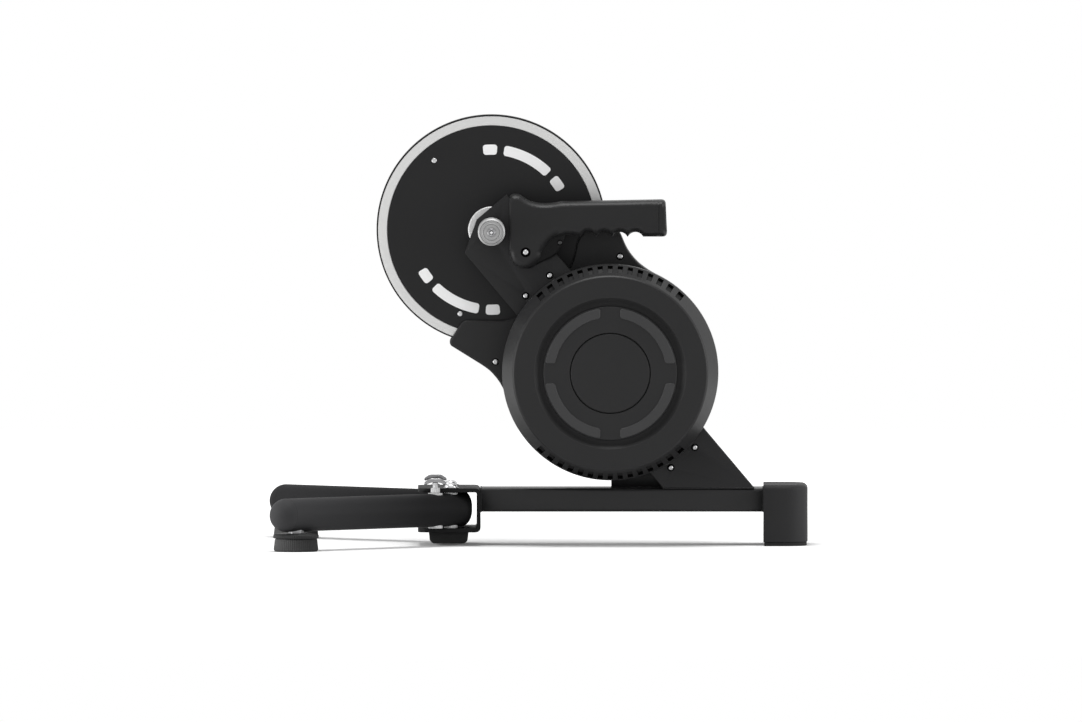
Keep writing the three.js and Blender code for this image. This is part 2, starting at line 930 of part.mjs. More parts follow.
// Points along the loop, each with the outward direction there.
function beltLoop() {
  const start = new THREE.Vector2(-axleForward, axleHeight);
  const end = new THREE.Vector2(shaftBack, shaftHeight);
  const along = end.clone().sub(start).normalize();
  const lean = Math.asin((pulleyRadius - smallPulleyRadius) / shaftDistance);
  const heading = Math.atan2(along.y, along.x);
  const stations = [];
  const arc = (centre, radius, from, to, steps) => {
    for (let i = 0; i <= steps; i += 1) {
      const angle = from + ((to - from) * i) / steps;
      stations.push({ centre, radius, out: new THREE.Vector2(Math.cos(angle), Math.sin(angle)) });
    }
  };
  const side = quarterTurn - lean;
  arc(start, pulleyRadius, heading + side, heading - side + 2 * halfTurn, bigWrapSteps);
  arc(end, smallPulleyRadius, heading - side, heading + side, smallWrapSteps);
  return stations;
}

function driveBelt() {
  const near = beltNear();
  const far = near + ribCount * ribPitch;
  const section = [...grooves(beltGap, near), [beltGap + beltThick, far], [beltGap + beltThick, near]];
  const stations = beltLoop();
  const positions = [];
  const ringSize = section.length;
  stations.forEach(({ centre, radius, out }) => {
    section.forEach(([height, y]) => {
      const place = centre.clone().addScaledVector(out, radius + height);
      positions.push(place.x, y, place.y);
    });
  });
  const index = [];
  stations.forEach((_, i) => {
    const here = i * ringSize;
    const next = ((i + 1) % stations.length) * ringSize;
    section.forEach((__, j) => {
      const up = (j + 1) % ringSize;
      index.push(here + j, next + j, next + up, here + j, next + up, here + up);
    });
  });
  const geometry = new THREE.BufferGeometry();
  geometry.setAttribute("position", new THREE.Float32BufferAttribute(positions, 3));
  geometry.setIndex(index);
  const belt = geometry.toNonIndexed();
  belt.computeVertexNormals();
  return piece("drive_belt", belt, "belt");
}

// Belt guard

// The guard's outline in shares of the distance between the shafts: along the band from the
// flywheel shaft up to the axle, and across it to the front.
const guardFrontShares = [
  [0.253, 0.53],
  [0.287, 0.511],
  [0.347, 0.498],
  [0.418, 0.499],
  [0.463, 0.51],
  [0.679, 0.58],
];
const guardMouthShares = [
  [0.712, 0.477],
  [0.722, 0.433],
  [0.545, 0.228],
  [0.533, 0.046],
  [0.557, -0.195],
  [0.647, -0.349],
];
const guardTopShares = [
  [0.675, -0.443],
  [0.598, -0.535],
  [0.525, -0.52],
  [0.458, -0.498],
  [0.407, -0.491],
  [0.35, -0.492],
  [0.279, -0.508],
  [0.222, -0.53],
];

// Places of the guard's bosses, in the same shares.
const guardBossShares = [
  [0.34, 0],
  [-0.26, 0.11],
  [-0.26, -0.11],
];

function guardPoint([along, across]) {
  return strutPoint(shaftDistance * (1 - along), shaftDistance * across);
}

// Outer line of the guard from the top, round the flywheel shaft, to the front corner.
function guardRun(inset) {
  const arc = [];
  const [topX, topZ] = guardPoint(guardTopShares.at(-1));
  const [frontX, frontZ] = guardPoint(guardFrontShares[0]);
  const from = Math.atan2(topZ - shaftHeight, topX - shaftBack);
  const to = Math.atan2(frontZ - shaftHeight, frontX - shaftBack);
  const turn = to > from ? to - 2 * halfTurn : to;
  for (let i = 1; i < guardArcSteps; i += 1) {
    const angle = from + ((turn - from) * i) / guardArcSteps;
    const x = shaftBack + guardRadius * Math.cos(angle);
    arc.push([x, shaftHeight + guardRadius * Math.sin(angle)]);
  }
  const run = [...guardTopShares.slice(1).map(guardPoint), ...arc, ...guardFrontShares.map(guardPoint)];
  if (!inset) return run;
  return run.map((point, i) => {
    const [x0, z0] = run[Math.max(i - 1, 0)];
    const [x1, z1] = run[Math.min(i + 1, run.length - 1)];
    const length = Math.hypot(x1 - x0, z1 - z0);
    return [point[0] + ((z1 - z0) / length) * inset, point[1] - ((x1 - x0) / length) * inset];
  });
}

function guardShape() {
  return rounded([...guardRun(0), ...guardMouthShares.map(guardPoint), guardPoint(guardTopShares[0])], 0);
}

function beltGuard() {
  const rim = [...guardRun(0), ...guardRun(guardWall).reverse()];
  let inner = solid(slab(guardShape(), 0, guardWall));
  inner = join(inner, slab(rounded(rim, 0), guardWall / 2, guardDepth), ...guardBosses());
  const shaftHole = diskY(shaftHoleRadius, -overrun, guardWall + overrun);
  inner = cut(inner, shaftHole.translate(shaftBack, 0, shaftHeight));
  const plug = socketPlace();
  const hole = diskY(socketRadius + gap, guardDepth, guardDepth + guardWall + overrun);
  const lid = slab(guardShape(), guardDepth + gap, guardDepth + gap + guardWall);
  const outer = cut(solid(lid), hole.translate(...plug));
  return [
    piece("guard_inner_shell", inner, "blackPlastic"),
    piece("guard_outer_shell", outer, "blackPlastic"),
  ];
}

// Bosses that hold the guard on the far side plate.
function guardBosses() {
  const seat = -farPlateIn + plateThick + gap;
  return guardBossShares.map((place) => {
    const [x, z] = guardPoint(place);
    return diskY(guardBossRadius, seat, guardWall / 2, smallRound).translate(x, 0, z);
  });
}

function socketPlace() {
  const angle = socketAngle * degree;
  return [shaftBack + socketReach * Math.cos(angle), 0, shaftHeight + socketReach * Math.sin(angle)];
}

function powerSocket() {
  const face = guardDepth + gap + guardWall;
  const near = face - socketDepth;
  const socket = revolve(
    [
      [0, near],
      [socketRadius, near],
      [socketRadius, face + gap],
      [socketRadius + socketWall, face + gap],
      [socketRadius + socketWall, face + gap + socketWall],
      [socketBore, face + gap + socketWall],
      [socketBore, near + socketWall],
      [0, near + socketWall],
    ],
    midRound,
  );
  return piece("power_socket", socket.translate(...socketPlace()), "blackPlastic");
}

// Carrying handle

function handleShape() {
  const x = (value) => value - axleForward;
  const z = (value) => value + axleHeight;
  const lobeX = handleFront + lobeRadius;
  const headLength = scallopFirst - handleFront;
  const place = (reach, top) => ([along, down]) => [
    x(handleFront + reach * along),
    z(top - handleEdge * down),
  ];
  const head = place(headLength, gripTop);
  const tip = place(handleEdge, handleTipHeight);
  const shape = new THREE.Shape();
  shape.moveTo(x(handleFront), z(-lobeDrop));
  shape.lineTo(...tip(handleTipShares[0]));
  shape.quadraticCurveTo(...tip(handleTipShares[1]), ...tip(handleTipShares[2]));
  shape.bezierCurveTo(...handleHeadShares.flatMap(head));
  const endTop = handleBack - endLean;
  shape.lineTo(x(endTop - endCorner), z(gripTop));
  shape.quadraticCurveTo(x(endTop), z(gripTop), x(endTop), z(gripTop - endCorner));
  shape.lineTo(x(handleBack), z(gripBottom + 3 * endCorner));
  shape.lineTo(x(handleBack), z(gripBottom + endCorner));
  shape.quadraticCurveTo(x(handleBack), z(gripBottom), x(handleBack - endCorner), z(gripBottom));
  shape.lineTo(x(scallopFirst - scallopPitch / 2), z(gripBottom));
  shape.bezierCurveTo(
    x(scallopFirst - scallopPitch * throatShare),
    z(gripBottom + scallopDepth),
    x(lobeX + lobeRadius + lobeRadius / 2),
    z(gripBottom),
    x(lobeX + lobeRadius),
    z(-lobeDrop),
  );
  shape.absarc(x(lobeX), z(-lobeDrop), lobeRadius, 0, -halfTurn, true);
  shape.closePath();
  return shape;
}

// Cutters for the finger scallops under the grip.
function scallops(near, far) {
  const drop = scallopRadius - scallopDepth;
  return Array.from({ length: scallopCount }, (_, i) => {
    const x = scallopFirst + i * scallopPitch - axleForward;
    const cutter = diskY(scallopRadius, near - overrun, far + overrun);
    return cutter.translate(x, 0, axleHeight + gripBottom - drop);
  });
}

// Room in the handle for the tie bolts' spacers and for the brake housing.
function handleRooms(near, far) {
  const places = boltPlaces();
  const rooms = places.map(([x, z]) => diskY(spacerRadius + gap, near, far, smallRound).translate(x, 0, z));
  const housing = diskY(housingRadius + gap, near - overrun, -nearPlateOut, fullRound);
  return [...rooms, housing.translate(shaftBack, 0, shaftHeight)];
}

// The flange of the handle's head, flat on the near plate.
function cheekShape() {
  const lobeX = handleFront + lobeRadius - axleForward;
  const lobeZ = axleHeight - lobeDrop;
  const place = ([along, up]) => [lobeX + lobeRadius * along, lobeZ + lobeRadius * up];
  return rounded(cheekShares.map(place), handleEdge);
}

function handle() {
  const near = -handleNear;
  const far = near + handleWidth;
  const middle = (near + far) / 2;
  const wide = 2 * handleBack;
  const seam = handleBack - endCapLength - axleForward;
  let body = solid(slab(handleShape(), near, far, handleEdge));
  const cheek = slab(cheekShape(), -nearPlateOut - cheekThick, -nearPlateOut - gap);
  body = join(body, cheek);
  const band = (room) =>
    rounded(
      [
        strutPoint(-strutHead - handleTipHeight, -strutHalfWidth - room),
        strutPoint(-strutHead - handleTipHeight, strutHalfWidth + handleTipHeight),
        strutPoint(shaftDistance, strutHalfWidth + handleTipHeight),
        strutPoint(shaftDistance, -strutHalfWidth - room),
      ],
      0,
    );
  const nearSlot = slab(band(handleGap), -nearPlateOut - gap, -nearPlateOut + plateThick + gap);
  const farSlot = slab(band(handleGap), -farPlateIn - gap, far + overrun);
  body = cut(body, nearSlot, farSlot, ...scallops(near, far), ...handleRooms(near, far));
  const low = axleHeight - wide;
  const high = axleHeight + wide;
  const capBlock = solid(box(seam + gap / 2, wide, -wide, wide, low, high));
  const endCap = body.intersect(capBlock);
  const rest = cut(body, box(seam - gap / 2, wide, -wide, wide, low, high));
  const nearHalf = cut(rest, box(-wide, wide, middle - gap / 2, wide, low, high));
  const farHalf = cut(rest, box(-wide, wide, -wide, middle + gap / 2, low, high));
  return [
    piece("handle_near_shell", nearHalf, "blackPlastic"),
    piece("handle_far_shell", farHalf, "blackPlastic"),
    piece("handle_end_cap", endCap, "blackPlastic"),
  ];
}

// Folding legs. A leg is drawn along +X from its pivot, then turned to its place.

function lockPlace(side) {
  const x = -pivotForward - lockReach * Math.cos(legAngle * degree);
  return [x, side * (pivotSide + lockReach * Math.sin(legAngle * degree))];
}

function legTube(side) {
  const inner = legRadius - legWall;
  const profile = [
    [inner, -legInner],
    [legRadius, -legInner],
    [legRadius, legReach],
  ];
  for (let i = 1; i < domeSteps; i += 1) {
    const angle = (i / domeSteps) * quarterTurn;
    profile.push([legRadius * Math.cos(angle), legReach + legRadius * Math.sin(angle)]);
  }
  profile.push([0, legReach + legRadius], [0, legReach + inner / 2], [inner, legReach]);
  let body = solid(revolve(profile, midRound).rotateZ(-quarterTurn));
  const low = bracketBottom + bracketPlate + gap - legHeight;
  const high = bracketBottom + bracketHeight - bracketPlate - gap - legHeight;
  const sleeves = [
    [0, pivotBoltRadius + gap, pivotSleeveWall],
    [lockReach, lockPinRadius + gap, lockSleeveWall],
  ];
  for (const [place, bore, wall] of sleeves) {
    body = join(body, diskZ(bore + wall, low, high, smallRound).translate(place, 0, 0));
  }
  for (const [place, bore] of sleeves) {
    body = cut(body, diskZ(bore, low - overrun, high + overrun, smallRound).translate(place, 0, 0));
  }
  const folded = diskZ(lockPinRadius + gap, legRadius - 2 * pinTravel, legRadius + overrun, smallRound);
  const turned = -side * legAngle * degree;
  folded.translate(lockReach * Math.cos(turned), lockReach * Math.sin(turned), 0);
  const seat = diskZ(insertRadius + gap, -legRadius - overrun, -legRadius + insertHeight, smallRound);
  return cut(body, folded, seat.translate(footReach, 0, 0));
}

function footPieces(side, name) {
  const rubberTop = footHeight - footFlangeHeight - gap;
  const tread = revolve(
    [
      [0, 0],
      [footConeBottom - footBevel / 2, 0],
      [footConeBottom, footToe],
      [footConeTop, rubberTop],
      [0, rubberTop],
    ],
    midRound,
  );
  const flange = revolve(
    [
      [0, rubberTop + gap],
      [footFlangeRadius, rubberTop + gap],
      [footFlangeRadius, rubberTop + gap + footBevel],
      [footFlangeRadius - footBevel, footHeight],
      [0, footHeight],
    ],
    midRound,
  );
  const upright = (geometry) => geometry.rotateX(quarterTurn);
  const studLow = footHeight + gap;
  const studTop = legHeight - legRadius + insertHeight - 2 * gap;
  const insert = cut(
    solid(diskZ(insertRadius, studLow, studTop, smallRound)),
    diskZ(studRadius + gap, studLow - overrun, studTop + overrun, smallRound),
  );
  return {
    insert: piece(`${name}_foot_insert`, insert, "silver"),
    stud: piece(`${name}_foot_stud`, diskZ(studRadius, studLow, studTop, smallRound), "silver"),
    flange: piece(`${name}_foot_flange`, upright(flange), "blackPlastic"),
    tread: piece(`${name}_foot_tread`, upright(tread), "blackRubber"),
  };
}

function frontLeg(side, name) {
  const group = new THREE.Group();
  const leg = piece(`${name}_leg_tube`, legTube(side), "blackSteel");
  leg.position.z = legHeight;
  const foot = new THREE.Group();
  const parts = footPieces(side, name);
  foot.add(parts.insert, parts.stud, parts.flange, parts.tread);
  foot.position.x = footReach;
  group.add(leg, foot);
  group.position.set(-pivotForward, side * pivotSide, 0);
  group.rotation.z = halfTurn - side * legAngle * degree;
  return group;
}

function pivotBolt(side, name) {
  const top = bracketBottom + bracketHeight + gap;
  const bolt = revolve(
    [
      [0, bracketBottom + gap],
      [pivotBoltRadius, bracketBottom + gap],
      [pivotBoltRadius, top],
      [pivotHeadRadius, top],
      ...pivotHeadShares.map(([r, h]) => [pivotHeadRadius * r, top + pivotHeadHeight * h]),
      [0, top + pivotHeadHeight],
    ],
    smallRound,
  );
  const mesh = piece(`${name}_pivot_bolt`, bolt.rotateX(quarterTurn), "chrome");
  mesh.position.set(-pivotForward, side * pivotSide, 0);
  return mesh;
}

// The lock: a sleeve on the bracket's edge, a pin through it and a small arched handle.
function legLock(side, name) {
  const group = new THREE.Group();
  const plateTop = bracketBottom + bracketHeight;
  const plateUnder = plateTop - bracketPlate;
  const sleeveTop = plateTop + plungerRise;
  const sleeve = cut(
    solid(diskZ(plungerRadius, plateUnder, sleeveTop, smallRound)),
    diskZ(lockPinRadius + gap, plateUnder - overrun, sleeveTop + overrun, smallRound),
  );
  const barTop = toggleTop;
  const barLow = barTop - toggleHeight;
  const half = toggleLength / 2;
  const arch = rounded(
    [
      [-half, barLow],
      [-half + toggleArch / 2, barLow],
      [-toggleArch, barTop - toggleArch],
      [toggleArch, barTop - toggleArch],
      [half - toggleArch / 2, barLow],
      [half, barLow],
      [half, barTop - toggleArch],
      [half / 2, barTop],
      [-half / 2, barTop],
      [-half, barTop - toggleArch],
    ],
    toggleArch / 2,
  );
  const handleBody = solid(slab(arch, -toggleWidth / 2, toggleWidth / 2));
  const pinTip = plateUnder + gap;
  const pin = diskZ(lockPinRadius, pinTip, barTop - toggleArch - gap, smallRound);
  group.add(
    piece(`${name}_lock_sleeve`, sleeve, "chrome"),
    piece(`${name}_lock_pin`, pin, "chrome"),
    piece(`${name}_lock_handle`, handleBody, "chrome"),
  );
  group.position.set(...lockPlace(side), 0);
  return group;
}

const trainer = new THREE.Group();
const axleGroup = new THREE.Group();
axleGroup.position.set(-axleForward, 0, axleHeight);
axleGroup.add(...axleLine(), ...drivePulley(), freehub());
const brakeGroup = new THREE.Group();
brakeGroup.position.set(shaftBack, 0, shaftHeight);
brakeGroup.add(...flywheelLine(), ...shaftBearings(), ...housingCover(), ...housingInside());
trainer.add(mainBeam(), frontBracket(), centreBumper(), ...rearFoot());
trainer.add(...sidePlates(), ...plateTies(), driveBelt(), ...beltGuard(), powerSocket(), ...handle());
trainer.add(axleGroup, brakeGroup);
for (const [side, name] of [
  [-1, "near"],
  [1, "far"],
]) {
  trainer.add(frontLeg(side, name), pivotBolt(side, name), legLock(side, name));
}

export default trainer;
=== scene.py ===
import json
import math
from types import SimpleNamespace as Sizes

import bmesh
import bpy
import numpy as np
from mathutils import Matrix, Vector
from mathutils.geometry import delaunay_2d_cdt, tessellate_polygon

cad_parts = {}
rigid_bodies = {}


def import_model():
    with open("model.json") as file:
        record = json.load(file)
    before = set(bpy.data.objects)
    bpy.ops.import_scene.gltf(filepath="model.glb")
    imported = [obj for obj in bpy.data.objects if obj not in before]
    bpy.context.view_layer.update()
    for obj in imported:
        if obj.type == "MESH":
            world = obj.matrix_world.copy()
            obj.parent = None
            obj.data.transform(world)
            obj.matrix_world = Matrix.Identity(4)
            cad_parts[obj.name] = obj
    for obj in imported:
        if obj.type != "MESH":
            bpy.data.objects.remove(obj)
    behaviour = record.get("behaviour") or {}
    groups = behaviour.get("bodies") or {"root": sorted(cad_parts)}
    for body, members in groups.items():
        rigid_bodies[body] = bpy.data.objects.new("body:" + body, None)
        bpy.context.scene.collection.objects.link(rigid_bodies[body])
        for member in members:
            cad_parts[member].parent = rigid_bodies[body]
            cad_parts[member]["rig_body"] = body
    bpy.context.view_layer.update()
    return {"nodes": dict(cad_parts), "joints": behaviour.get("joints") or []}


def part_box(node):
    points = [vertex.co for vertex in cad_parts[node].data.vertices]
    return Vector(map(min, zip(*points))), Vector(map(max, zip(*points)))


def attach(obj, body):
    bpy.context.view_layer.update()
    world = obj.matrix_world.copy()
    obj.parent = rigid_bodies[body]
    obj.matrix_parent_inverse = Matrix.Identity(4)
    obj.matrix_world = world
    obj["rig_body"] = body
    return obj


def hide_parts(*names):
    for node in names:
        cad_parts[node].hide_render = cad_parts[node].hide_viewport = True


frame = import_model()
nodes = frame["nodes"]
joints = {joint["name"]: joint for joint in frame["joints"]}
mm = 0.001
fullTurn = 2 * math.pi
quarterTurn = math.pi / 2
right, back, up = np.eye(3)


# A node's corners, in millimetres
def boxOf(node):
    low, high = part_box(node)
    return np.array(low) / mm, np.array(high) / mm


def pivotOf(joint):
    return np.array(joints[joint]["pos_m"]) / mm


axle = pivotOf("pulley_spin")
shaft = pivotOf("flywheel_spin")
axleSpot, shaftSpot = axle[[0, 2]], shaft[[0, 2]]  # places on XZ

# Camera, as the photograph was taken

camera = Sizes(
    photoWidth=1082, photoHeight=722,
    scale=1.08,  # millimetres of the object in one pixel
    originColumn=538.4,  # column of the frame's origin
    floorRow=544.4,  # row of the floor under the middle
    elevation=2.36,  # degrees
    distance=3000,
)


# An orthographic camera that looks along +Y and a little down
def placeCamera():
    data = bpy.data.cameras.new("photoCamera")
    data.type = "ORTHO"
    data.ortho_scale = camera.photoWidth * camera.scale * mm
    data.clip_end = 20
    tilt = math.radians(camera.elevation)
    across = (camera.photoWidth / 2 - camera.originColumn) * camera.scale
    high = (camera.floorRow - camera.photoHeight / 2) * camera.scale
    away = np.array([0, -math.cos(tilt), math.sin(tilt)])
    upward = np.array([0, math.sin(tilt), math.cos(tilt)])
    place = right * across + upward * high + away * camera.distance
    obj = bpy.data.objects.new("photoCamera", data)
    obj.location = Vector(place * mm)
    obj.rotation_euler = (quarterTurn - tilt, 0, 0)
    bpy.context.scene.collection.objects.link(obj)
    bpy.context.scene.camera = obj


placeCamera()
print("camera placed")

# Shader groups


# Gives a node its inputs, each of which is a value or another node's output
def feed(tree, made, inputs):
    for key, value in inputs.items():
        if isinstance(value, bpy.types.NodeSocket):
            tree.links.new(value, made.inputs[key])
        else:
            made.inputs[key].default_value = value
    return made


def newNode(tree, kind, inputs, **settings):
    made = tree.nodes.new("ShaderNode" + kind)
    for key, value in settings.items():
        setattr(made, key, value)
    return feed(tree, made, inputs)


def mathNode(tree, operation, *values):
    return newNode(tree, "Math", dict(enumerate(values)), operation=operation).outputs[0]


def vectorNode(tree, operation, inputs):
    return newNode(tree, "VectorMath", inputs, operation=operation).outputs


def objectPlace(tree):
    return newNode(tree, "TexCoord", {}).outputs["Object"]


# A value carried from one range to another
def ranged(tree, value, start, end, **settings):
    inputs = {"Value": value, "From Min": start[0], "From Max": start[1],
              "To Min": end[0], "To Max": end[1]}
    return newNode(tree, "MapRange", inputs, **settings).outputs["Result"]


# A node group with float or vector inputs, a height and a tone as outputs, and its two end nodes
def newGroup(name, inputs):
    group = bpy.data.node_groups.new(name, "ShaderNodeTree")
    for label, value in inputs.items():
        kind = "NodeSocketFloat" if isinstance(value, float) else "NodeSocketVector"
        group.interface.new_socket(label, in_out="INPUT", socket_type=kind).default_value = value
    for label in ("Height", "Tone"):
        group.interface.new_socket(label, in_out="OUTPUT", socket_type="NodeSocketFloat")
    return group, group.nodes.new("NodeGroupInput"), group.nodes.new("NodeGroupOutput")


# Two noises on Object coordinates: a fine one for height, a broad one for tone
def makeFineGrain():
    group, entry, leave = newGroup("fineGrain", {"Grain Size": 0.6, "Patch Size": 60.0})
    spot = objectPlace(group)
    for label, output, detail in (("Grain Size", "Height", 3), ("Patch Size", "Tone", 5)):
        scale = mathNode(group, "DIVIDE", 1 / mm, entry.outputs[label])
        noise = newNode(group, "TexNoise", {"Detail": detail, "Scale": scale, "Vector": spot})
        group.links.new(noise.outputs["Fac"], leave.inputs[output])
    return group


# Fine grooves round an axis along Y: a sine of the distance from it, and rings of noise for tone
def makeTurnedRings():
    group, entry, leave = newGroup("turnedRings", {"Centre": (0.0, 0.0, 0.0), "Pitch": 0.5})
    moved = vectorNode(group, "SUBTRACT", {0: objectPlace(group), 1: entry.outputs["Centre"]})
    flat = vectorNode(group, "MULTIPLY", {0: moved[0], 1: (1, 0, 1)})
    reach = vectorNode(group, "LENGTH", {0: flat[0]})["Value"]
    turns = mathNode(group, "DIVIDE", reach, entry.outputs["Pitch"])
    wave = mathNode(group, "SINE", mathNode(group, "MULTIPLY", turns, fullTurn / mm))
    coarse = mathNode(group, "MULTIPLY", turns, 0.6 / mm)
    noise = newNode(group, "TexNoise", {"Scale": 1, "Detail": 3}, noise_dimensions="1D")
    feed(group, noise, {"W": coarse})
    feed(group, leave, {"Height": wave, "Tone": noise.outputs["Fac"]})
    return group


fineGrain = makeFineGrain()
turnedRings = makeTurnedRings()


# Painted light and shade: a colour times a factor that goes from one value to another along X
def faded(tree, color, places, factors):
    along = newNode(tree, "SeparateXYZ", {0: objectPlace(tree)}).outputs["X"]
    level = ranged(tree, along, np.array(places) * mm, factors)
    return vectorNode(tree, "SCALE", {0: color, "Scale": level})[0]


toneSpread = 0.12  # share by which broad patches are lighter or darker
roughSpread = 0.05


# A material whose tone and roughness follow broad patches, whose bump is a fine grain or rings, and whose
# colour may carry painted light and shade along X
def makeFinish(name, look):
    material = bpy.data.materials.new(name)
    material.use_nodes = True
    tree = material.node_tree
    if "centre" in look:
        inputs = {"Centre": Vector(look["centre"] * mm), "Pitch": look["pitch"]}
        grain = newNode(tree, "Group", {}, node_tree=turnedRings)
    else:
        inputs = {"Grain Size": look["grain"]}
        grain = newNode(tree, "Group", {}, node_tree=fineGrain)
    height, tone = feed(tree, grain, inputs).outputs
    spread = look.get("vary", toneSpread)
    dark, light = (np.array(look["color"]) * (1 + side * spread) for side in (-1, 1))
    ends = {"A": (*dark, 1), "B": (*np.minimum(light, 1), 1), "Factor": tone}
    color = newNode(tree, "Mix", ends, data_type="RGBA").outputs["Result"]
    relief = {"Strength": look.get("bump", 0.2), "Distance": look.get("relief", 0.1) * mm, "Height": height}
    rough = look["rough"]
    feed(tree, tree.nodes["Principled BSDF"], {
        "Metallic": look.get("metallic", 0.0),
        "Specular IOR Level": look.get("specular", 0.5),
        "Base Color": faded(tree, color, *look["fade"]) if "fade" in look else color,
        "Roughness": ranged(tree, tone, (0, 1), (rough - roughSpread, rough + roughSpread)),
        "Normal": newNode(tree, "Bump", relief).outputs["Normal"],
    })
    return material


# A grey with a blue tint, its roughness and the rest of a finish
def grey(level, tint, rough, **rest):
    return {"color": (level, level, level * (1 + tint)), "rough": rough, **rest}


coat = {"grain": 0.9, "relief": 0.09, "bump": 0.35}
plastic = {"grain": 0.5, "relief": 0.05, "bump": 0.3}
rubber = {"grain": 1.2, "relief": 0.12, "bump": 0.4}
rings = {"centre": axle, "pitch": 0.9}
finishes = {
    "powderCoat": grey(0.0115, 0.04, 0.45, specular=0.18, **coat),
    # painted light and shade along the leg: lighter at its end, darker towards the bracket
    "legCoat": grey(0.02, 0.04, 0.6, specular=0.06, fade=((-300, -120), (2.1, 0.45)), **coat),
    # a darker copy of the leg paint, painted shade for the far leg, with painted light and shade along it
    "shadedFarLegCoat": grey(0.014, 0.04, 0.6, specular=0.05, fade=((-300, -120), (1.6, 0.6)), **coat),
    # a darker copy of the plate coat, painted shade for the far plate
    "shadedFarPlateCoat": grey(0.01, 0.04, 0.5, specular=0.16, **coat),
    "padPlastic": grey(0.024, 0.03, 0.5, specular=0.34, **plastic),
    "discPlastic": grey(0.0095, 0.04, 0.42, specular=0.17, grain=0.6, relief=0.02),
    "footPlastic": grey(0.014, 0.02, 0.5, specular=0.2, grain=0.6, relief=0.05, bump=0.3),
    "handlePlastic": grey(0.0115, 0.03, 0.44, specular=0.19, **plastic),
    # the handle's plastic darker, painted shade under the grip
    "shadedCheekPlastic": grey(0.0055, 0.03, 0.5, specular=0.1, **plastic),
    "guardPlastic": grey(0.0135, 0.03, 0.5, specular=0.21, **plastic),
    "housingPlastic": grey(0.0125, 0.03, 0.46, specular=0.2, **plastic),
    # the housing's plastic darker, painted shade in the recess
    "shadedRecessPlastic": grey(0.0095, 0.03, 0.5, specular=0.14, **plastic),
    # painted light: lighter towards the rounded rear end
    "rearPlastic": grey(0.0145, 0.03, 0.58, specular=0.11, fade=((225, 288), (1.0, 1.7)), **plastic),
    "collarPlastic": grey(0.55, 0, 0.5, grain=0.6, vary=0.05, relief=0.03),
    "beamCoat": grey(0.0112, 0.04, 0.4, specular=0.24, **coat),
    # a darker copy of the black coat, painted shade for the bracket between the legs
    "shadedBracketCoat": grey(0.006, 0.04, 0.5, specular=0.1, **coat),
    "bumperRubber": grey(0.018, 0, 0.8, specular=0.25, **rubber),
    # painted light and shade: lighter on the tread's -X side, darker on its +X side
    "treadRubber": grey(0.058, 0, 0.75, specular=0.05, fade=((-297, -247), (1.6, 0.6)), **rubber),
    "padRubber": grey(0.016, 0, 0.8, specular=0.2, **rubber),
    "beltRubber": grey(0.009, 0.05, 0.7, specular=0.25, grain=0.8, relief=0.05, bump=0.3),
    # black painted shade, in the vents, under sunk screw heads and in the cap's hollow
    "paintedShadeBlack": grey(0.002, 0, 0.95, specular=0.0, grain=1.0),
    "whitePaint": grey(0.82, 0, 0.4, grain=0.8, vary=0.02, relief=0.02),
    "rimMetal": grey(0.56, -0.01, 0.42, metallic=0.55, relief=0.02, vary=0.05, **rings),
    "hubMetal": grey(0.63, 0, 0.5, metallic=0.45, relief=0.02, vary=0.06, centre=axle, pitch=0.7),
    "capMetal": grey(0.31, 0, 0.52, metallic=0.5, relief=0.04, vary=0.22, bump=0.4, **rings),
    "darkMetal": grey(0.05, 0, 0.3, metallic=1.0, grain=0.6, relief=0.02),
    "brightMetal": grey(0.62, 0.01, 0.34, metallic=1.0, grain=0.8, relief=0.01, bump=0.05),
    "sleeveMetal": grey(0.5, 0.01, 0.55, metallic=0.5, grain=0.8, relief=0.01),
    "toolMetal": grey(0.24, 0.02, 0.3, metallic=1.0, grain=0.8, relief=0.03),
    "screwMetal": grey(0.45, 0.01, 0.34, metallic=1.0, grain=0.6, relief=0.02),
    "zincMetal": grey(0.3, 0.02, 0.42, metallic=1.0, grain=0.7, relief=0.03),
    "castIron": grey(0.14, 0.03, 0.55, metallic=0.9, grain=1.6, relief=0.15),
    "coilCopper": {"color": (0.45, 0.2, 0.1), "rough": 0.35, "metallic": 0.9, "grain": 0.9, "relief": 0.2},
    "boardGreen": {"color": (0.02, 0.12, 0.05), "rough": 0.5, "grain": 0.8, "relief": 0.03},
}
materials = {name: makeFinish(name, look) for name, look in finishes.items()}
print("finishes made:", len(materials))

# Shapes


def dress(obj, finish):
    obj.data.materials.clear()
    obj.data.materials.append(materials[finish])


sharpAngle, bevelAngle, flatAngle = np.radians((36, 32, 0.5))


# Normals that follow the large faces, so that flats stay flat beside small roundings
def weighted(obj):
    obj.data.shade_smooth()
    obj.data.set_sharp_from_angle(angle=sharpAngle)
    modifier = obj.modifiers.new("flats", "WEIGHTED_NORMAL")
    modifier.mode = "FACE_AREA"
    modifier.keep_sharp = True


def newPiece(name, points, faces, finish):
    mesh = bpy.data.meshes.new(name)
    mesh.from_pydata((np.asarray(points) * mm).tolist(), [], faces)
    mesh.validate()
    obj = bpy.data.objects.new(name, mesh)
    bpy.context.scene.collection.objects.link(obj)
    dress(obj, finish)
    return obj


# Rides a piece on the body of a CAD node, in the place of that node
def standIn(node, obj):
    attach(obj, nodes[node]["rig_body"])
    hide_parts(node)


# Rides a piece that replaces nothing
def trim(obj, body="frame"):
    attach(obj, body)


# Merges doubled points and turns every face outwards
def welded(obj):
    shape = bmesh.new()
    shape.from_mesh(obj.data)
    bmesh.ops.remove_doubles(shape, verts=shape.verts, dist=1e-6)
    bmesh.ops.recalc_face_normals(shape, faces=shape.faces)
    shape.to_mesh(obj.data)
    shape.free()
    return obj


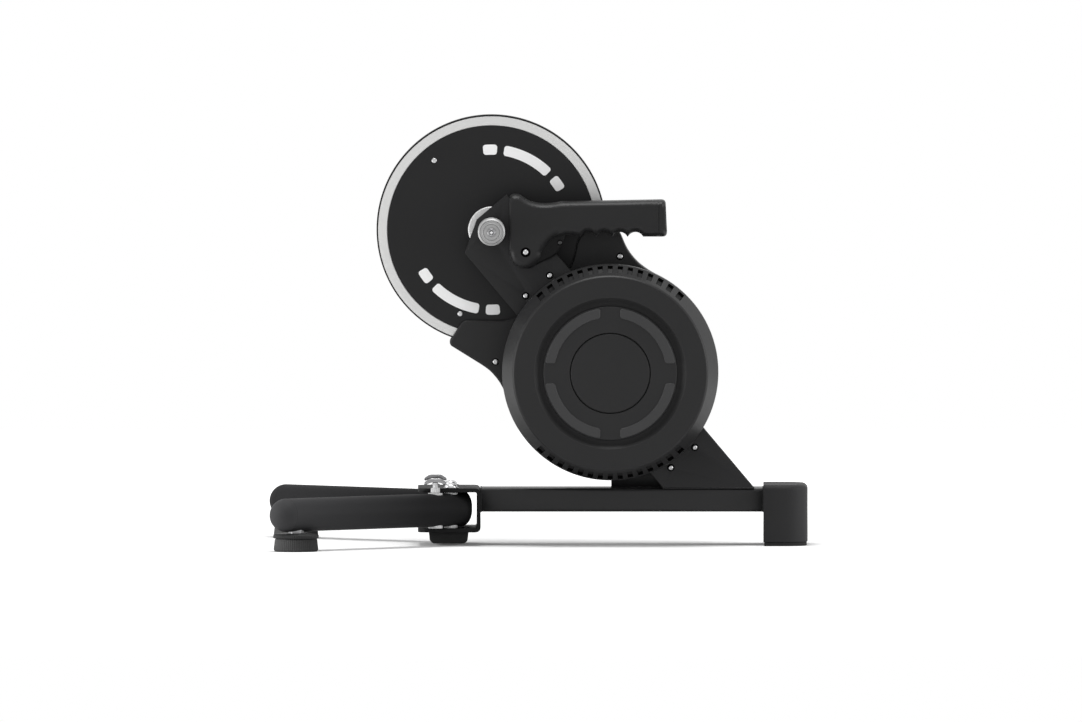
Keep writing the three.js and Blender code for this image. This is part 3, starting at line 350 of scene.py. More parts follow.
# Each corner becomes an arc from one side to the next, which starts at most reach from the corner
# and never past the middle of a side. The arc is a blend of both ends and the corner, in which
# the corner's weight is the sine of half the angle there.
def eased(corners, reach, steps=5):
    corners = np.asarray(corners, float)
    count = len(corners)
    reaches = np.broadcast_to(reach, count)
    shares = np.linspace(0, 1, steps + 1)[:, None]
    points = []
    for i, corner in enumerate(corners):
        if reaches[i] <= 0:
            points.append(corner[None])
            continue
        before, after = corners[i - 1] - corner, corners[(i + 1) % count] - corner
        size = min(reaches[i], np.linalg.norm(before) / 2, np.linalg.norm(after) / 2)
        before, after = before / np.linalg.norm(before), after / np.linalg.norm(after)
        weight = np.linalg.norm(before - after) / 2
        start, middle, end = (1 - shares) ** 2, 2 * weight * shares * (1 - shares), shares**2
        blend = start * (corner + before * size) + middle * corner + end * (corner + after * size)
        points.append(blend / (start + middle + end))
    return np.concatenate(points)


# Quads over a grid that closes on itself both ways
def gridFaces(rows, columns):
    row, column = np.meshgrid(np.arange(rows), np.arange(columns), indexing="ij")
    nextRow, nextColumn = (row + 1) % rows, (column + 1) % columns
    quads = [row * columns + column, row * columns + nextColumn,
             nextRow * columns + nextColumn, nextRow * columns + column]
    return np.stack(quads, axis=-1).reshape(-1, 4).tolist()


# Cuts upright round holes through a piece, for each (place, radius), between two heights
def drilled(obj, holes, low, high):
    obj.modifiers.clear()
    drills = []
    for spot, radius in holes:
        drill = turned(obj.name + "_drill", "paintedShadeBlack", rectangle(0, radius, low, high), spot, up, 48, 0)
        drill.modifiers.clear()
        modifier = obj.modifiers.new("hole", "BOOLEAN")
        modifier.operation = "DIFFERENCE"
        modifier.solver = "EXACT"
        modifier.object = drill
        drills.append(drill)
    bpy.context.view_layer.update()
    whole = obj.evaluated_get(bpy.context.evaluated_depsgraph_get())
    mesh = bpy.data.meshes.new_from_object(whole)
    obj.modifiers.clear()
    obj.data = mesh
    for drill in drills:
        bpy.data.objects.remove(drill)
    weighted(obj)


# Corners anticlockwise: an outline, or a ring's section between two radii and two heights
def rectangle(left, wide, low, high):
    return [[left, low], [wide, low], [wide, high], [left, high]]


lap = 0.2  # by which pieces reach into each other


# A closed profile of radius and height carried round an axis: each point is origin + height * axis
# + radius * (cos * one + sin * other). shape may change radii and heights over the angle.
def turned(name, finish, profile, origin, axis, sides=128, ease=0.5, shape=None, smoothSteps=4):
    rounded = eased(profile, np.where(np.asarray(profile)[:, 0] > 0, ease, 0), smoothSteps)
    axis = np.asarray(axis, float)
    one = np.cross(axis, up if abs(axis[2]) < 0.9 else right)
    one /= np.linalg.norm(one)
    other = np.cross(axis, one)
    angle = np.arange(sides) * fullTurn / sides
    radius = np.repeat(rounded[:, :1], sides, axis=1)
    height = np.repeat(rounded[:, 1:], sides, axis=1)
    if shape:
        radius, height = shape(radius, height, angle)
    points = (origin + height[..., None] * axis + radius[..., None]
              * (np.cos(angle)[:, None] * one + np.sin(angle)[:, None] * other))
    obj = newPiece(name, points.reshape(-1, 3), gridFaces(len(rounded), sides), finish)
    weighted(welded(obj))
    return obj


# A shape for turned: waves round the axis sink the points that chosen picks by radius and height
def waved(count, depth, chosen):
    def shape(radii, heights, angle):
        wave = 0.5 - 0.5 * np.cos(angle * count)
        return np.where(chosen(radii, heights), radii - depth * wave, radii), heights

    return shape


def signedArea(outline):
    x, y = outline.T
    return 0.5 * np.sum(x * np.roll(y, -1) - y * np.roll(x, -1))


# Unit normals of an outline, from the sides that meet at each point, longer sides first
def outward(outline):
    side = np.roll(outline, -1, axis=0) - outline
    normal = np.stack([side[:, 1], -side[:, 0]], axis=1)
    summed = normal + np.roll(normal, 1, axis=0)
    return summed / np.maximum(np.linalg.norm(summed, axis=1, keepdims=True), 1e-9)


# Drops points that lie on the one before
def spaced(outline):
    step = np.linalg.norm(outline - np.roll(outline, 1, axis=0), axis=1)
    return outline[step > 1e-3]


# Loops without doubled points, the outer one anticlockwise and the holes clockwise
def orderedLoops(outline, holes):
    loops = []
    for i, loop in enumerate((outline, *holes)):
        loop = spaced(np.asarray(loop, float))
        wanted = 1 if i == 0 else -1
        loops.append(loop if signedArea(loop) * wanted > 0 else loop[::-1])
    return loops


# Flat points and heights as places: on XZ the height is measured along -Y, on YZ along X
def stood(points, flat):
    if flat == "XZ":
        return points[:, [0, 2, 1]] * (1, -1, 1)
    if flat == "YZ":
        return points[:, [2, 0, 1]]
    return points


# A flat shape with rounded edges: rings of the outline, drawn in by edge * (1 - cos) while they
# rise by edge * (1 - sin), closed by flat faces
def slab(name, finish, outline, low, high, edges=(0.6, 0.6), holes=(), flat="XZ", steps=4):
    loops = orderedLoops(outline, holes)
    turns = np.linspace(0, quarterTurn, steps + 1)
    lowEdge, highEdge = edges
    rows = []  # inset, height and tilt of the normal
    for height, edge, side in ((low, lowEdge, 1), (high, highEdge, -1)):
        for turn in turns[::side]:
            rise = edge * (1 - math.cos(turn))
            inset = edge * (1 - math.sin(turn))
            rows.append((inset, height + side * rise, side * (turn - quarterTurn)))
    points, normals, faces, ends = [], [], [], []
    start = 0
    for loop in loops:
        normal = outward(loop)
        count = len(loop)
        for inset, height, tilt in rows:
            points.append(np.column_stack([loop - normal * inset, np.full(count, height)]))
            normals.append(np.column_stack([normal * math.cos(tilt), np.full(count, math.sin(tilt))]))
        for i in range(len(rows) - 1):
            first = start + i * count + np.arange(count)
            step = np.roll(first, -1)
            faces += np.column_stack([first, step, step + count, first + count]).tolist()
        ends.append((start, start + (len(rows) - 1) * count, count))
        start += len(rows) * count
    points, normals = np.concatenate(points), np.concatenate(normals)
    for side in (0, 1):
        spans = [np.arange(end[2]) + end[side] for end in ends]
        polygons = [[Vector((*points[i, :2], 0)) for i in span] for span in spans]
        triangles = np.concatenate(spans)[np.array(tessellate_polygon(polygons))]
        first, second, third = points[triangles.T]
        facing = np.cross(second - first, third - first)[:, 2] > 0
        faces += np.where((facing == bool(side))[:, None], triangles, triangles[:, ::-1]).tolist()
    obj = newPiece(name, stood(points, flat), faces, finish)
    obj.data.shade_smooth()
    obj.data.normals_split_custom_set_from_vertices(stood(normals, flat).tolist())
    return obj


# Every side of an outline split into equal parts no longer than spacing
def divided(outline, spacing):
    step = np.roll(outline, -1, axis=0) - outline
    parts = np.maximum(np.ceil(np.linalg.norm(step, axis=1) / spacing).astype(int), 1)
    first = np.repeat(np.cumsum(parts) - parts, parts)
    share = (np.arange(parts.sum()) - first) / np.repeat(parts, parts)
    return np.repeat(outline, parts, axis=0) + share[:, None] * np.repeat(step, parts, axis=0)


# Whether points lie inside loops: a ray to the left crosses their sides an odd number of times
def inside(points, loops):
    x, z = points[:, :1], points[:, 1:2]
    crossings = 0
    for loop in loops:
        end = np.roll(loop, -1, axis=0)
        run = end - loop
        rise = np.where(run[:, 1] == 0, 1e-9, run[:, 1])
        spans = (loop[:, 1] > z) != (end[:, 1] > z)
        crossings = crossings + (spans & (x < loop[:, 0] + (z - loop[:, 1]) * run[:, 0] / rise)).sum(axis=1)
    return crossings % 2 == 1


# The nearest distance from each point to an open line
def distanceTo(points, line):
    start, side = line[:-1], line[1:] - line[:-1]
    length = np.maximum((side**2).sum(axis=1), 1e-9)
    share = np.clip(((points[:, None] - start) * side).sum(axis=-1) / length, 0, 1)
    return np.linalg.norm(points[:, None] - start - share[..., None] * side, axis=-1).min(axis=1)


def closedLine(loop):
    return np.concatenate([loop, loop[:1]])


shellMesh = Sizes(
    rows=8,  # of points across a rounded edge
    rowClear=0.96,  # least share of a row's inset that its points keep from the outline
    field=3.0, fieldClear=1.0,  # step of the points inside, and their least distance from the outline
)


# A closed shell over an outline. At a distance d inside a rounded edge its face stands back from
# the flat by depth * (1 - sqrt(1 - (1 - d / reach)^2)), an elliptic rounding. Each of rounds is a
# line, the reach and depth of its low side, and those of its high side.
def moulded(name, finish, outline, low, high, rounds, flat="XZ", spacing=2.2):
    loop = divided(orderedLoops(outline, ())[0], spacing)
    edge = closedLine(loop)
    reach = max(max(lowRound[0], highRound[0]) for _, lowRound, highRound in rounds)
    marks = [loop]
    for turn in np.linspace(0, quarterTurn, shellMesh.rows)[1:]:
        inset = reach * (1 - math.cos(turn))
        ring = loop - outward(loop) * inset
        kept = inside(ring, [loop]) & (distanceTo(ring, edge) > shellMesh.rowClear * inset)
        marks.append(ring[kept])
    corner, far = loop.min(axis=0), loop.max(axis=0)
    across, along = np.meshgrid(*(np.arange(corner[i], far[i], shellMesh.field) for i in (0, 1)))
    field = np.column_stack([across.ravel(), along.ravel()])
    marks.append(field[inside(field, [loop]) & (distanceTo(field, edge) > shellMesh.fieldClear)])
    count = len(loop)
    sides = [(i, (i + 1) % count) for i in range(count)]
    flatPoints = [Vector(point) for point in np.concatenate(marks)]
    corners, _, triangles, sources, _, _ = delaunay_2d_cdt(flatPoints, sides, [], 0, 1e-4)
    corners, triangles = np.array([tuple(point) for point in corners]), np.array(triangles)
    triangles = triangles[inside(corners[triangles].mean(axis=1), [loop])]
    found = {source: i for i, group in enumerate(sources) for source in group}
    rim = np.array([found[i] for i in range(count)])

    def standBack(side):
        depths = []
        for line, *cuts in rounds:
            size, depth = cuts[side]
            share = 1 - np.clip(distanceTo(corners, line) / size, 0, 1)
            depths.append(depth * (1 - np.sqrt(1 - share**2)))
        return np.max(depths, axis=0)

    bottom = np.column_stack([corners, low + standBack(0)])
    top = np.column_stack([corners, high - standBack(1)])
    lift = len(corners)
    wall = np.column_stack([rim, np.roll(rim, -1), np.roll(rim, -1) + lift, rim + lift])
    faces = triangles[:, ::-1].tolist() + (triangles + lift).tolist() + wall.tolist()
    obj = newPiece(name, stood(np.concatenate([bottom, top]), flat), faces, finish)
    weighted(welded(obj))
    return obj


beads = Sizes(step=0.9, sides=10, turn=1.3)  # turn: of the ripple from one ring to the next


# A round bead carried along a closed flat line: each ring lies across the line, and its radius
# swells and sinks a little as a weld's does
def bead(name, finish, line, radius, flat, height, ripple=0.12):
    line = divided(spaced(np.asarray(line, float)), beads.step)
    normal = outward(line)
    angle = np.arange(beads.sides) * fullTurn / beads.sides
    size = radius * (1 + ripple * np.sin(np.arange(len(line)) * beads.turn))
    flatPart = line[:, None] + (size[:, None] * np.cos(angle))[..., None] * normal[:, None]
    heightPart = height + size[:, None] * np.sin(angle)
    points = np.concatenate([flatPart, heightPart[..., None]], axis=-1).reshape(-1, 3)
    obj = newPiece(name, stood(points, flat), gridFaces(len(line), beads.sides), finish)
    weighted(welded(obj))
    return obj


# Points at a radius and at angles round a centre
def around(centre, radius, angle):
    return np.column_stack([centre[0] + radius * np.cos(angle), centre[1] + radius * np.sin(angle)])


def circle(centre, radius, count=48):
    return around(centre, radius, np.arange(count) * fullTurn / count)


def arc(centre, radius, start, end, steps=24):
    return around(centre, radius, np.linspace(start, end, steps + 1))


# A Bezier curve through its first and last control, by repeated halfway blends
def curve(*controls, steps=16):
    share = np.linspace(0, 1, steps + 1)[:, None]
    level = [np.asarray(control, float) for control in controls]
    while len(level) > 1:
        level = [one * (1 - share) + other * share for one, other in zip(level, level[1:])]
    return level[0]


# A copy of a CAD node, welded, its flats joined into whole faces and its edges rounded
def softened(node, finish, width, segments=3):
    source = nodes[node]
    obj = bpy.data.objects.new(node + "_soft", source.data.copy())
    bpy.context.scene.collection.objects.link(obj)
    shape = bmesh.new()
    shape.from_mesh(obj.data)
    bmesh.ops.remove_doubles(shape, verts=shape.verts, dist=1e-6)
    bmesh.ops.dissolve_limit(shape, angle_limit=flatAngle, verts=shape.verts, edges=shape.edges)
    shape.to_mesh(obj.data)
    shape.free()
    dress(obj, finish)
    obj.data.shade_smooth()
    modifier = obj.modifiers.new("edges", "BEVEL")
    modifier.width = width * mm
    modifier.segments = segments
    modifier.limit_method = "ANGLE"
    modifier.angle_limit = bevelAngle
    modifier.harden_normals = True
    standIn(node, obj)


# Distance to a regular hexagon's side at each angle: half the width over a cosine
def hexagon(angle, width):
    sector = (angle + math.pi / 6) % (math.pi / 3) - math.pi / 6
    return width / 2 / np.cos(sector)


# A button head with a hexagon socket: a dome of revolution whose innermost rows follow a hexagon
def screw(name, spot, axis, radius, height, finish="screwMetal"):
    socket = radius * 0.3  # half its width
    depth = height * 0.55
    profile = [[0, height - depth], [socket, height - depth], [socket + 0.05, height],
               [radius * 0.62, height], [radius * 0.92, height * 0.6], [radius, 0], [0, 0]]

    def shape(radii, heights, angle):
        inner = (radii > 0) & (radii < socket + 0.06) & (heights > 0)
        return np.where(inner, np.maximum(radii - socket, 0) + hexagon(angle, 2 * socket), radii), heights

    trim(turned(name, finish, profile, spot, axis, 36, ease=0.3, shape=shape, smoothSteps=2))


# A black disc that a sunk screw head stands in: painted shade for the hollow of its seat
def screwSeatShade(name, spot, axis, radius, height=0.12):
    trim(turned(name, "paintedShadeBlack", rectangle(0, radius, 0, height), spot, axis, 36, 0.05))


flatHead = 0.9  # height of a sunk screw's head


# A flat screw on its disc of painted shade; the name holds {} for the words seat and screw
def sunkScrew(name, spot, axis, radius, seatRadius, finish="screwMetal"):
    screwSeatShade(name.format("seat"), spot, axis, seatRadius)
    screw(name.format("screw"), spot, axis, radius, flatHead, finish)


# Pulley, cover disc and hub, in millimetres along +Y from the middle

pulley = Sizes(
    radius=122.4, near=5.0, width=19.0, pocket=112.9, pocketDepth=2.9, webThick=4.0, rimInside=115.2,
    collar=40.0, bore=25.3, webHoles=6, holeRadius=24.0, grooves=4, groovePitch=3.56, grooveDepth=1.8,
    sides=240, webLap=0.6, webEdges=(0.8, 0.4),
)


# V grooves across the width of a pulley: crest and floor in turn
def grooveRun(crest, depth):
    count, pitch = pulley.grooves, pulley.groovePitch
    start = pulley.near + (pulley.width - count * pitch) / 2
    heights = start + np.arange(2 * count + 1) * pitch / 2
    radii = np.where(np.arange(2 * count + 1) % 2, crest - depth, crest)
    return np.column_stack([radii, heights]).tolist()


def makePulley():
    near, far = pulley.near, pulley.near + pulley.width
    ledge = near + pulley.pocketDepth
    web = ledge + pulley.webThick
    radius = pulley.radius
    rim = [
        [pulley.pocket, near], [radius, near], *grooveRun(radius, pulley.grooveDepth), [radius, far],
        [pulley.rimInside, far], [pulley.rimInside, web + lap], [pulley.pocket, web + lap],
    ]
    standIn("drive_pulley", turned("pulley_rim", "rimMetal", rim, axle, back, pulley.sides, ease=0.35,
            smoothSteps=2))
    middle = (pulley.collar + pulley.rimInside) / 2
    holes = [circle(spot, pulley.holeRadius) for spot in circle(axleSpot, middle, pulley.webHoles)]
    holes.insert(0, circle(axleSpot, pulley.bore + lap))
    outline = circle(axleSpot, pulley.pocket + pulley.webLap, 160)
    trim(slab("pulley_web", "rimMetal", outline, -web, -ledge, pulley.webEdges, holes),
            "pulley")
    collar = rectangle(pulley.bore, pulley.collar, web - lap, far)
    trim(turned("pulley_collar", "rimMetal", collar, axle, back, 96, ease=0.8), "pulley")


disc = Sizes(
    radius=112.5, near=5.05, thick=2.5, bore=25.25, screwRing=97.0, screwAngles=(9.6, 129.6, 249.6),
    screwRadius=2.9, screwHeight=1.2, markInner=81.0, markOuter=92.0, markThick=0.12,
    markSink=0.1, markRound=3,
    markStarts=(30, 210),  # degrees
    markDashes=((0, 10), (15, 36), (56, 10)),  # start and span of each dash, in degrees
)


def makeCoverDisc():
    near = disc.near
    profile = rectangle(disc.bore, disc.radius, near, near + disc.thick)
    standIn("cover_disc", turned("cover_disc_face", "discPlastic", profile, axle, back, pulley.sides,
            ease=0.5))
    radius, height = disc.screwRadius, disc.screwHeight
    dome = [[0, 0], [radius, 0], [radius * 0.9, height * 0.7], [radius * 0.5, height], [0, height]]
    for i, (x, z) in enumerate(around(axleSpot, disc.screwRing, np.radians(disc.screwAngles))):
        trim(turned(f"disc_screw_{i + 1}", "screwMetal", dome, np.array((x, near, z)), -back,
                36, 0.6), "pulley")


# A dash bent round a centre: a rounded rectangle whose length becomes an angle
def dash(centre, inner, outer, start, span, roundness):
    middle = (inner + outer) / 2
    length = math.radians(span) * middle
    outline = divided(eased(rectangle(0, length, inner, outer), roundness), 2)
    angle = math.radians(start) + outline[:, 0] / middle
    return around(centre, outline[:, 1], angle)


# Plain painted dashes on the disc, in two groups
def makeDiscMarks():
    face = -disc.near
    for group, first in enumerate(disc.markStarts):
        for i, (start, span) in enumerate(disc.markDashes):
            outline = dash(axleSpot, disc.markInner, disc.markOuter, first + start, span,
                           disc.markRound)
            name = f"disc_mark_{group + 1}_{i + 1}"
            trim(slab(name, "whitePaint", outline, face - disc.markSink,
                    face + disc.markThick, (0, 0.1), steps=2), "pulley")


hub = Sizes(radius=25.0, near=3.2, far=26.5, bore=13.3, coneWidth=3.0, coneDepth=1.2, edge=0.7)


def makeHub():
    bore, radius, near, far, edge = hub.bore, hub.radius, hub.near, hub.far, hub.edge
    profile = [[bore, near + hub.coneDepth], [bore + hub.coneWidth, near], [radius - edge, near],
               [radius, near + edge], [radius, far], [bore, far]]
    standIn("pulley_hub", turned("pulley_hub_face", "hubMetal", profile, axle, back, 128, ease=0.6))


makePulley()
makeCoverDisc()
makeDiscMarks()
makeHub()
print("pulley, disc and hub made")

# Belt

belt = Sizes(lift=0.4, thick=1.3, smallRadius=18.1, bigSteps=200, smallSteps=48)


# The ribbed section carried round both pulleys: each station lies on a circle about its own
# shaft, and the two straight runs join the arcs where they touch both circles
def makeBelt():
    apart = shaftSpot - axleSpot
    distance = math.hypot(*apart)
    heading = math.atan2(*apart[::-1])
    side = quarterTurn - math.asin((pulley.radius - belt.smallRadius) / distance)
    section = grooveRun(belt.lift, pulley.grooveDepth)
    low, high = section[0][1], section[-1][1]
    outer = belt.lift + belt.thick
    section += [[outer, high], [outer, low]]
    big = np.linspace(heading + side, heading - side + fullTurn, belt.bigSteps + 1)
    small = np.linspace(heading - side, heading + side, belt.smallSteps + 1)
    stations = [(axle, pulley.radius, angle) for angle in big]
    stations += [(shaft, belt.smallRadius, angle) for angle in small]
    points = [(centre[0] + (radius + lift) * math.cos(angle), y,
               centre[2] + (radius + lift) * math.sin(angle))
              for centre, radius, angle in stations for lift, y in section]
    obj = newPiece("ribbed_belt", points, gridFaces(len(stations), len(section)), "beltRubber")
    weighted(welded(obj))
    standIn("drive_belt", obj)


makeBelt()
print("belt made")

# Axle end caps and freehub

caps = Sizes(
    face=67.5,  # the dropouts' faces, from the middle
    noseRadius=4.4, noseLength=4.5, bore=2.2, nearRadius=14.7, nearFaceRadius=9.8, farRadius=11.0,
    step=1.6, groove=0.6, waist=1.1, pinRadius=1.9,
    grooveRadii=(8.3, 12.1),  # inner edges of the grooves in the near cap's face and ledge
    waistRows=(11.0, 12.0, 14.0, 15.0),  # from the face: where the waist begins, is full, and ends
    root=61.5, noseLap=0.5, pinSide=0.9, pinTip=0.2, hollow=1.4,
)


# A groove cut into a face at a height, from its inner edge outwards
def turnedGroove(inner, height):
    width = caps.groove
    outer, floor = inner + width, height - width
    return [[inner, height], [inner, floor], [outer, floor], [outer, height]]


# Bore of both caps, over the axle
def capBore():
    return boxOf("axle")[1][2] - axle[2] + 0.3


def makeNearCap():
    face, step, radius, mouth, root = caps.face, caps.step, caps.nearRadius, caps.bore, caps.root
    bore, end = capBore(), -boxOf("near_axle_cap")[1][1]
    ledge, waist = face - step, radius - caps.waist
    inFace, inLedge = caps.grooveRadii
    rows = [face - depth for depth in caps.waistRows]
    near = [
        [mouth, face], *turnedGroove(inFace, face),
        [caps.nearFaceRadius, face], [caps.nearFaceRadius, ledge],
        *turnedGroove(inLedge, ledge), [radius - step, ledge], [radius, ledge - step],
        [radius, rows[0]], [waist, rows[1]], [waist, rows[2]], [radius, rows[3]],
        [radius, end], [bore, end], [bore, root], [mouth, root],
    ]
    standIn("near_axle_cap", turned("near_cap_turned", "capMetal", near, axle, -back, 96, ease=0.25))


# The near cap's nose, and the pin in its hollow, whose depth is a black disc of painted shade
def makeNose():
    mouth, root, tip = caps.bore, caps.root, caps.face + caps.noseLength
    nose = rectangle(mouth, caps.noseRadius, caps.face - caps.noseLap, tip)
    trim(turned("near_cap_nose", "toolMetal", nose, axle, -back, 64, ease=1.0))
    pin = [[0, root], [caps.pinRadius, root], [caps.pinRadius, tip - caps.pinSide], [0, tip - caps.pinTip]]
    trim(turned("near_cap_pin", "brightMetal", pin, axle, -back, 32, ease=0.7))
    shade = rectangle(0, mouth, root, tip - caps.hollow)
    trim(turned("near_cap_hollow_shade", "paintedShadeBlack", shade, axle, -back, 32, ease=0.1))


def makeFarCap():
    mouth, face, tip = caps.bore, caps.face, caps.face + caps.noseLength
    bore, start, seat = capBore(), boxOf("far_axle_cap")[0][1], caps.root + 0.4
    far = [
        [mouth, tip], [caps.noseRadius, tip], [caps.noseRadius, face], [caps.farRadius, face],
        [caps.farRadius, start], [bore, start], [bore, seat], [mouth, seat],
    ]
    standIn("far_axle_cap", turned("far_cap_turned", "capMetal", far, axle, back, 96, ease=0.35))


freehub = Sizes(
    radius=17.0, root=15.5, splines=9, flange=21.0, flangeThick=3.6, bore=13.3, band=5.0,
    steepness=4.5, bias=0.25,  # of the splines' flanks, and of their width
)


# Splines: the radius rises from root to crest by a softened step of a sine round the body
def makeFreehub():
    low, high = boxOf("freehub_body")
    near, far = low[1], high[1]
    root, crest, count = freehub.root, freehub.radius, freehub.splines
    skirt = near + freehub.flangeThick
    ring = far - freehub.band
    profile = [[freehub.bore, near], [freehub.flange, near], [freehub.flange, skirt],
               [crest, skirt], [crest, ring], [root - 0.2, ring], [root - 0.2, far], [freehub.bore, far]]

    def shape(radii, heights, angle):
        wave = 0.5 + 0.5 * np.tanh(freehub.steepness * (np.sin(angle * count) + freehub.bias))
        onSpline = (radii > crest - 0.6) & (radii < crest + 0.1) & (heights > skirt - 0.1)
        return np.where(onSpline, radii - (crest - root) * wave, radii), heights

    standIn("freehub_body", turned("splined_freehub", "zincMetal", profile, axle, back, 288, ease=0.4,
            shape=shape, smoothSteps=3))


makeNearCap()
makeNose()
makeFarCap()
makeFreehub()
print("axle ends made")

# Brake housing

housing = Sizes(
    radius=116.8, front=80.0, edge=1.8, bandDepth=28.0, faceRadius=105.8, recessOuter=82.2,
    recessFloor=74.2, recessInner=72.4, recessDepth=4.4, drop=1.0, seatRadius=43.8, wall=2.5,
    padInner=60.5, padOuter=71.0,
    padGap=10.8,  # half the straight gap between two pads
    padCorner=2.6, ventCount=15, ventPitch=10.7, ventWidth=5.2, ventDepth=17.5, ventRadius=111.9,
    ventReach=5.0, ventLip=0.12, seatDepth=3.2, coveFoot=3.4, coveInset=2.2, coveDrop=1.5, ease=0.8,
    sides=180, rearBore=15.5, rearWall=2.7, rearEdge=1.4, padSink=0.4, padEdges=(0.1, 0.9),
    capGap=0.3, capEdge=0.8,
)


# Radii and heights of the cover from its middle to its rim and back inside. The recess is a cove:
# its outer wall climbs from the floor to the face in one curve.
def coverProfile(rim, ventRows):
    front, edge, wall, drop = housing.front, housing.edge, housing.wall, housing.drop
    inner, outer, face = housing.recessInner, housing.recessOuter, housing.faceRadius
    radius, seat = housing.radius, housing.seatRadius
    island, floor = front - drop, front - housing.recessDepth
    start = housing.recessFloor
    cove = curve((start, floor), (start + housing.coveFoot, floor),
                 (outer - housing.coveInset, front - housing.coveDrop), (outer, front), steps=8)
    far = front - edge - housing.bandDepth
    return [
        [0, island - housing.seatDepth], [seat, island - housing.seatDepth], [seat, island],
        [inner - drop, island], [inner, island - drop], [inner, floor], *cove.tolist(),
        [face - edge, front], [face, front - edge],
        *ventRows, [radius, far], [radius, rim], [radius - wall, rim], [radius - wall, far],
        [face - wall - housing.ventReach, front - wall], [outer + wall, front - wall],
        [outer + wall, floor - wall], [0, floor - wall],
    ]


# Heights of the vents' rows: one beyond either end, and five inside
def ventHeights():
    slope = (housing.ventRadius - housing.faceRadius) / (housing.radius - housing.faceRadius)
    middle = housing.front - housing.edge - housing.bandDepth * slope
    top, bottom = middle + housing.ventDepth / 2, middle - housing.ventDepth / 2
    lip = housing.ventLip
    return [top + lip, top, (top + middle) / 2, middle, (bottom + middle) / 2, bottom, bottom - lip]


# A point of the sloping band at a height
def onSlope(height):
    down = housing.front - housing.edge - height
    return [housing.faceRadius + (housing.radius - housing.faceRadius) * down / housing.bandDepth, height]


# Angles of the cover's points: even ones, and those of the vents' sides
def coverAngles(vents):
    half, lip = housing.ventWidth / 2, housing.ventLip
    marks = np.concatenate([vents + offset for offset in (-half - lip, -half, half, half + lip)])
    turns = np.arccos(marks / housing.ventRadius)
    plain = np.linspace(0, fullTurn, housing.sides, endpoint=False)
    return np.unique(np.round(np.concatenate([plain, turns, fullTurn - turns]), 6))


# The finish of each face: 1 in the vents, black painted shade; 2 in the cove, a darker plastic as painted
# shade; and 0 elsewhere
def coverShades(radii, heights, sunk, faces):
    inCove = (radii > housing.recessInner - 0.1) & (radii < housing.recessOuter - 0.2)
    inCove &= (heights < housing.front - 0.3) & (heights > housing.front - 5)
    inCove = np.repeat(inCove[:, None], sunk.shape[1], axis=1)
    return np.where(sunk.reshape(-1)[faces].any(axis=1), 1, 2 * inCove.reshape(-1)[faces].all(axis=1))


# The cover is a profile turned about the shaft. Its vents are sunk: inside a window across X and
# along the band, the surface goes inwards by the vents' reach.
def makeCover():
    rim = -boxOf("housing_cover")[1][1]
    rows = ventHeights()
    profile = np.array(coverProfile(rim, [onSlope(height) for height in rows]))
    rounded = eased(profile, np.where(profile[:, 0] > 0, housing.ease, 0), 4)
    radii, heights = rounded.T
    vents = (np.arange(housing.ventCount) - (housing.ventCount - 1) / 2) * housing.ventPitch
    angle = coverAngles(vents)
    across = housing.ventRadius * np.cos(angle)
    inSlot = (np.abs(across[:, None] - vents) < housing.ventWidth / 2 + 1e-3).any(axis=1)
    onBand = (heights <= rows[1] + 1e-6) & (heights >= rows[-2] - 1e-6) & (radii > housing.faceRadius)
    sunk = onBand[:, None] & inSlot
    radius = radii[:, None] - housing.ventReach * sunk
    height = np.repeat(heights[:, None], len(angle), axis=1)
    points = np.stack([shaft[0] + radius * np.cos(angle), -height, shaft[2] + radius * np.sin(angle)], -1)
    faces = np.array(gridFaces(len(rounded), len(angle)))
    shade = coverShades(radii, heights, sunk, faces)
    obj = newPiece("housing_cover_shell", points.reshape(-1, 3), faces.tolist(), "housingPlastic")
    # The vents take black painted shade and the cove a darker plastic, painted shade
    for finish in ("paintedShadeBlack", "shadedRecessPlastic"):
        obj.data.materials.append(materials[finish])
    obj.data.polygons.foreach_set("material_index", shade.astype(np.int32))
    weighted(welded(obj))
    standIn("housing_cover", obj)


# Four raised arcs between the recess and the cap, with straight gaps between them. A rounded
# rectangle is bent round the shaft: its length becomes the angle between two gaps.
def makePads():
    front, inner, outer = housing.front, housing.padInner, housing.padOuter
    length = quarterTurn * (inner + outer) / 2
    flat = divided(eased(rectangle(0, length, inner, outer), housing.padCorner), 2)
    share, radius = flat[:, 0] / length, flat[:, 1]
    gapTurn = np.arcsin(housing.padGap / radius)
    for i in range(4):
        angle = quarterTurn * (i + share) + gapTurn * (1 - 2 * share)
        outline = around(shaftSpot, radius, angle)
        low = front - housing.drop - housing.padSink
        trim(slab(f"housing_pad_{i + 1}", "padPlastic", outline, low, front,
                housing.padEdges, steps=6))


def makeCentreCap():
    low, high = boxOf("centre_cap")
    radius = (high[0] - low[0]) / 2 - housing.capGap
    island, edge = -low[1], housing.capEdge
    profile = [[0, island], [radius - edge, island], [radius, island - edge],
               [radius, -high[1]], [0, -high[1]]]
    standIn("centre_cap", turned("centre_cap_face", "housingPlastic", profile, shaft, -back, 160, ease=0.5))


def makeRearShell():
    low, high = boxOf("brake_housing")
    near, far = -low[1], -high[1]
    radius, wall, bore, edge = housing.radius, housing.wall, housing.rearBore, housing.rearEdge
    inner = far + housing.rearWall
    profile = [[bore, far], [bore, inner], [radius - wall, inner], [radius - wall, near],
               [radius, near], [radius, far + edge], [radius - edge, far]]
    standIn("brake_housing", turned("brake_housing_shell", "housingPlastic", profile, shaft, -back,
            housing.sides, ease=0.5))


makeCover()
makePads()
makeCentreCap()
makeRearShell()
print("housing made")

# The band of the side plates: places along it from the axle and across it to the front

strut = Sizes(halfWidth=37.4, room=0.4)
plateFace = 30.3  # outer face of the near plate, from the middle
strutReach = math.hypot(*(shaftSpot - axleSpot))
strutAlong = (shaftSpot - axleSpot) / strutReach
strutAcross = np.array([strutAlong[1], -strutAlong[0]])


def strutPoint(along, across):
    return axleSpot + strutAlong * along + strutAcross * across


# Carrying handle, in millimetres from the axle

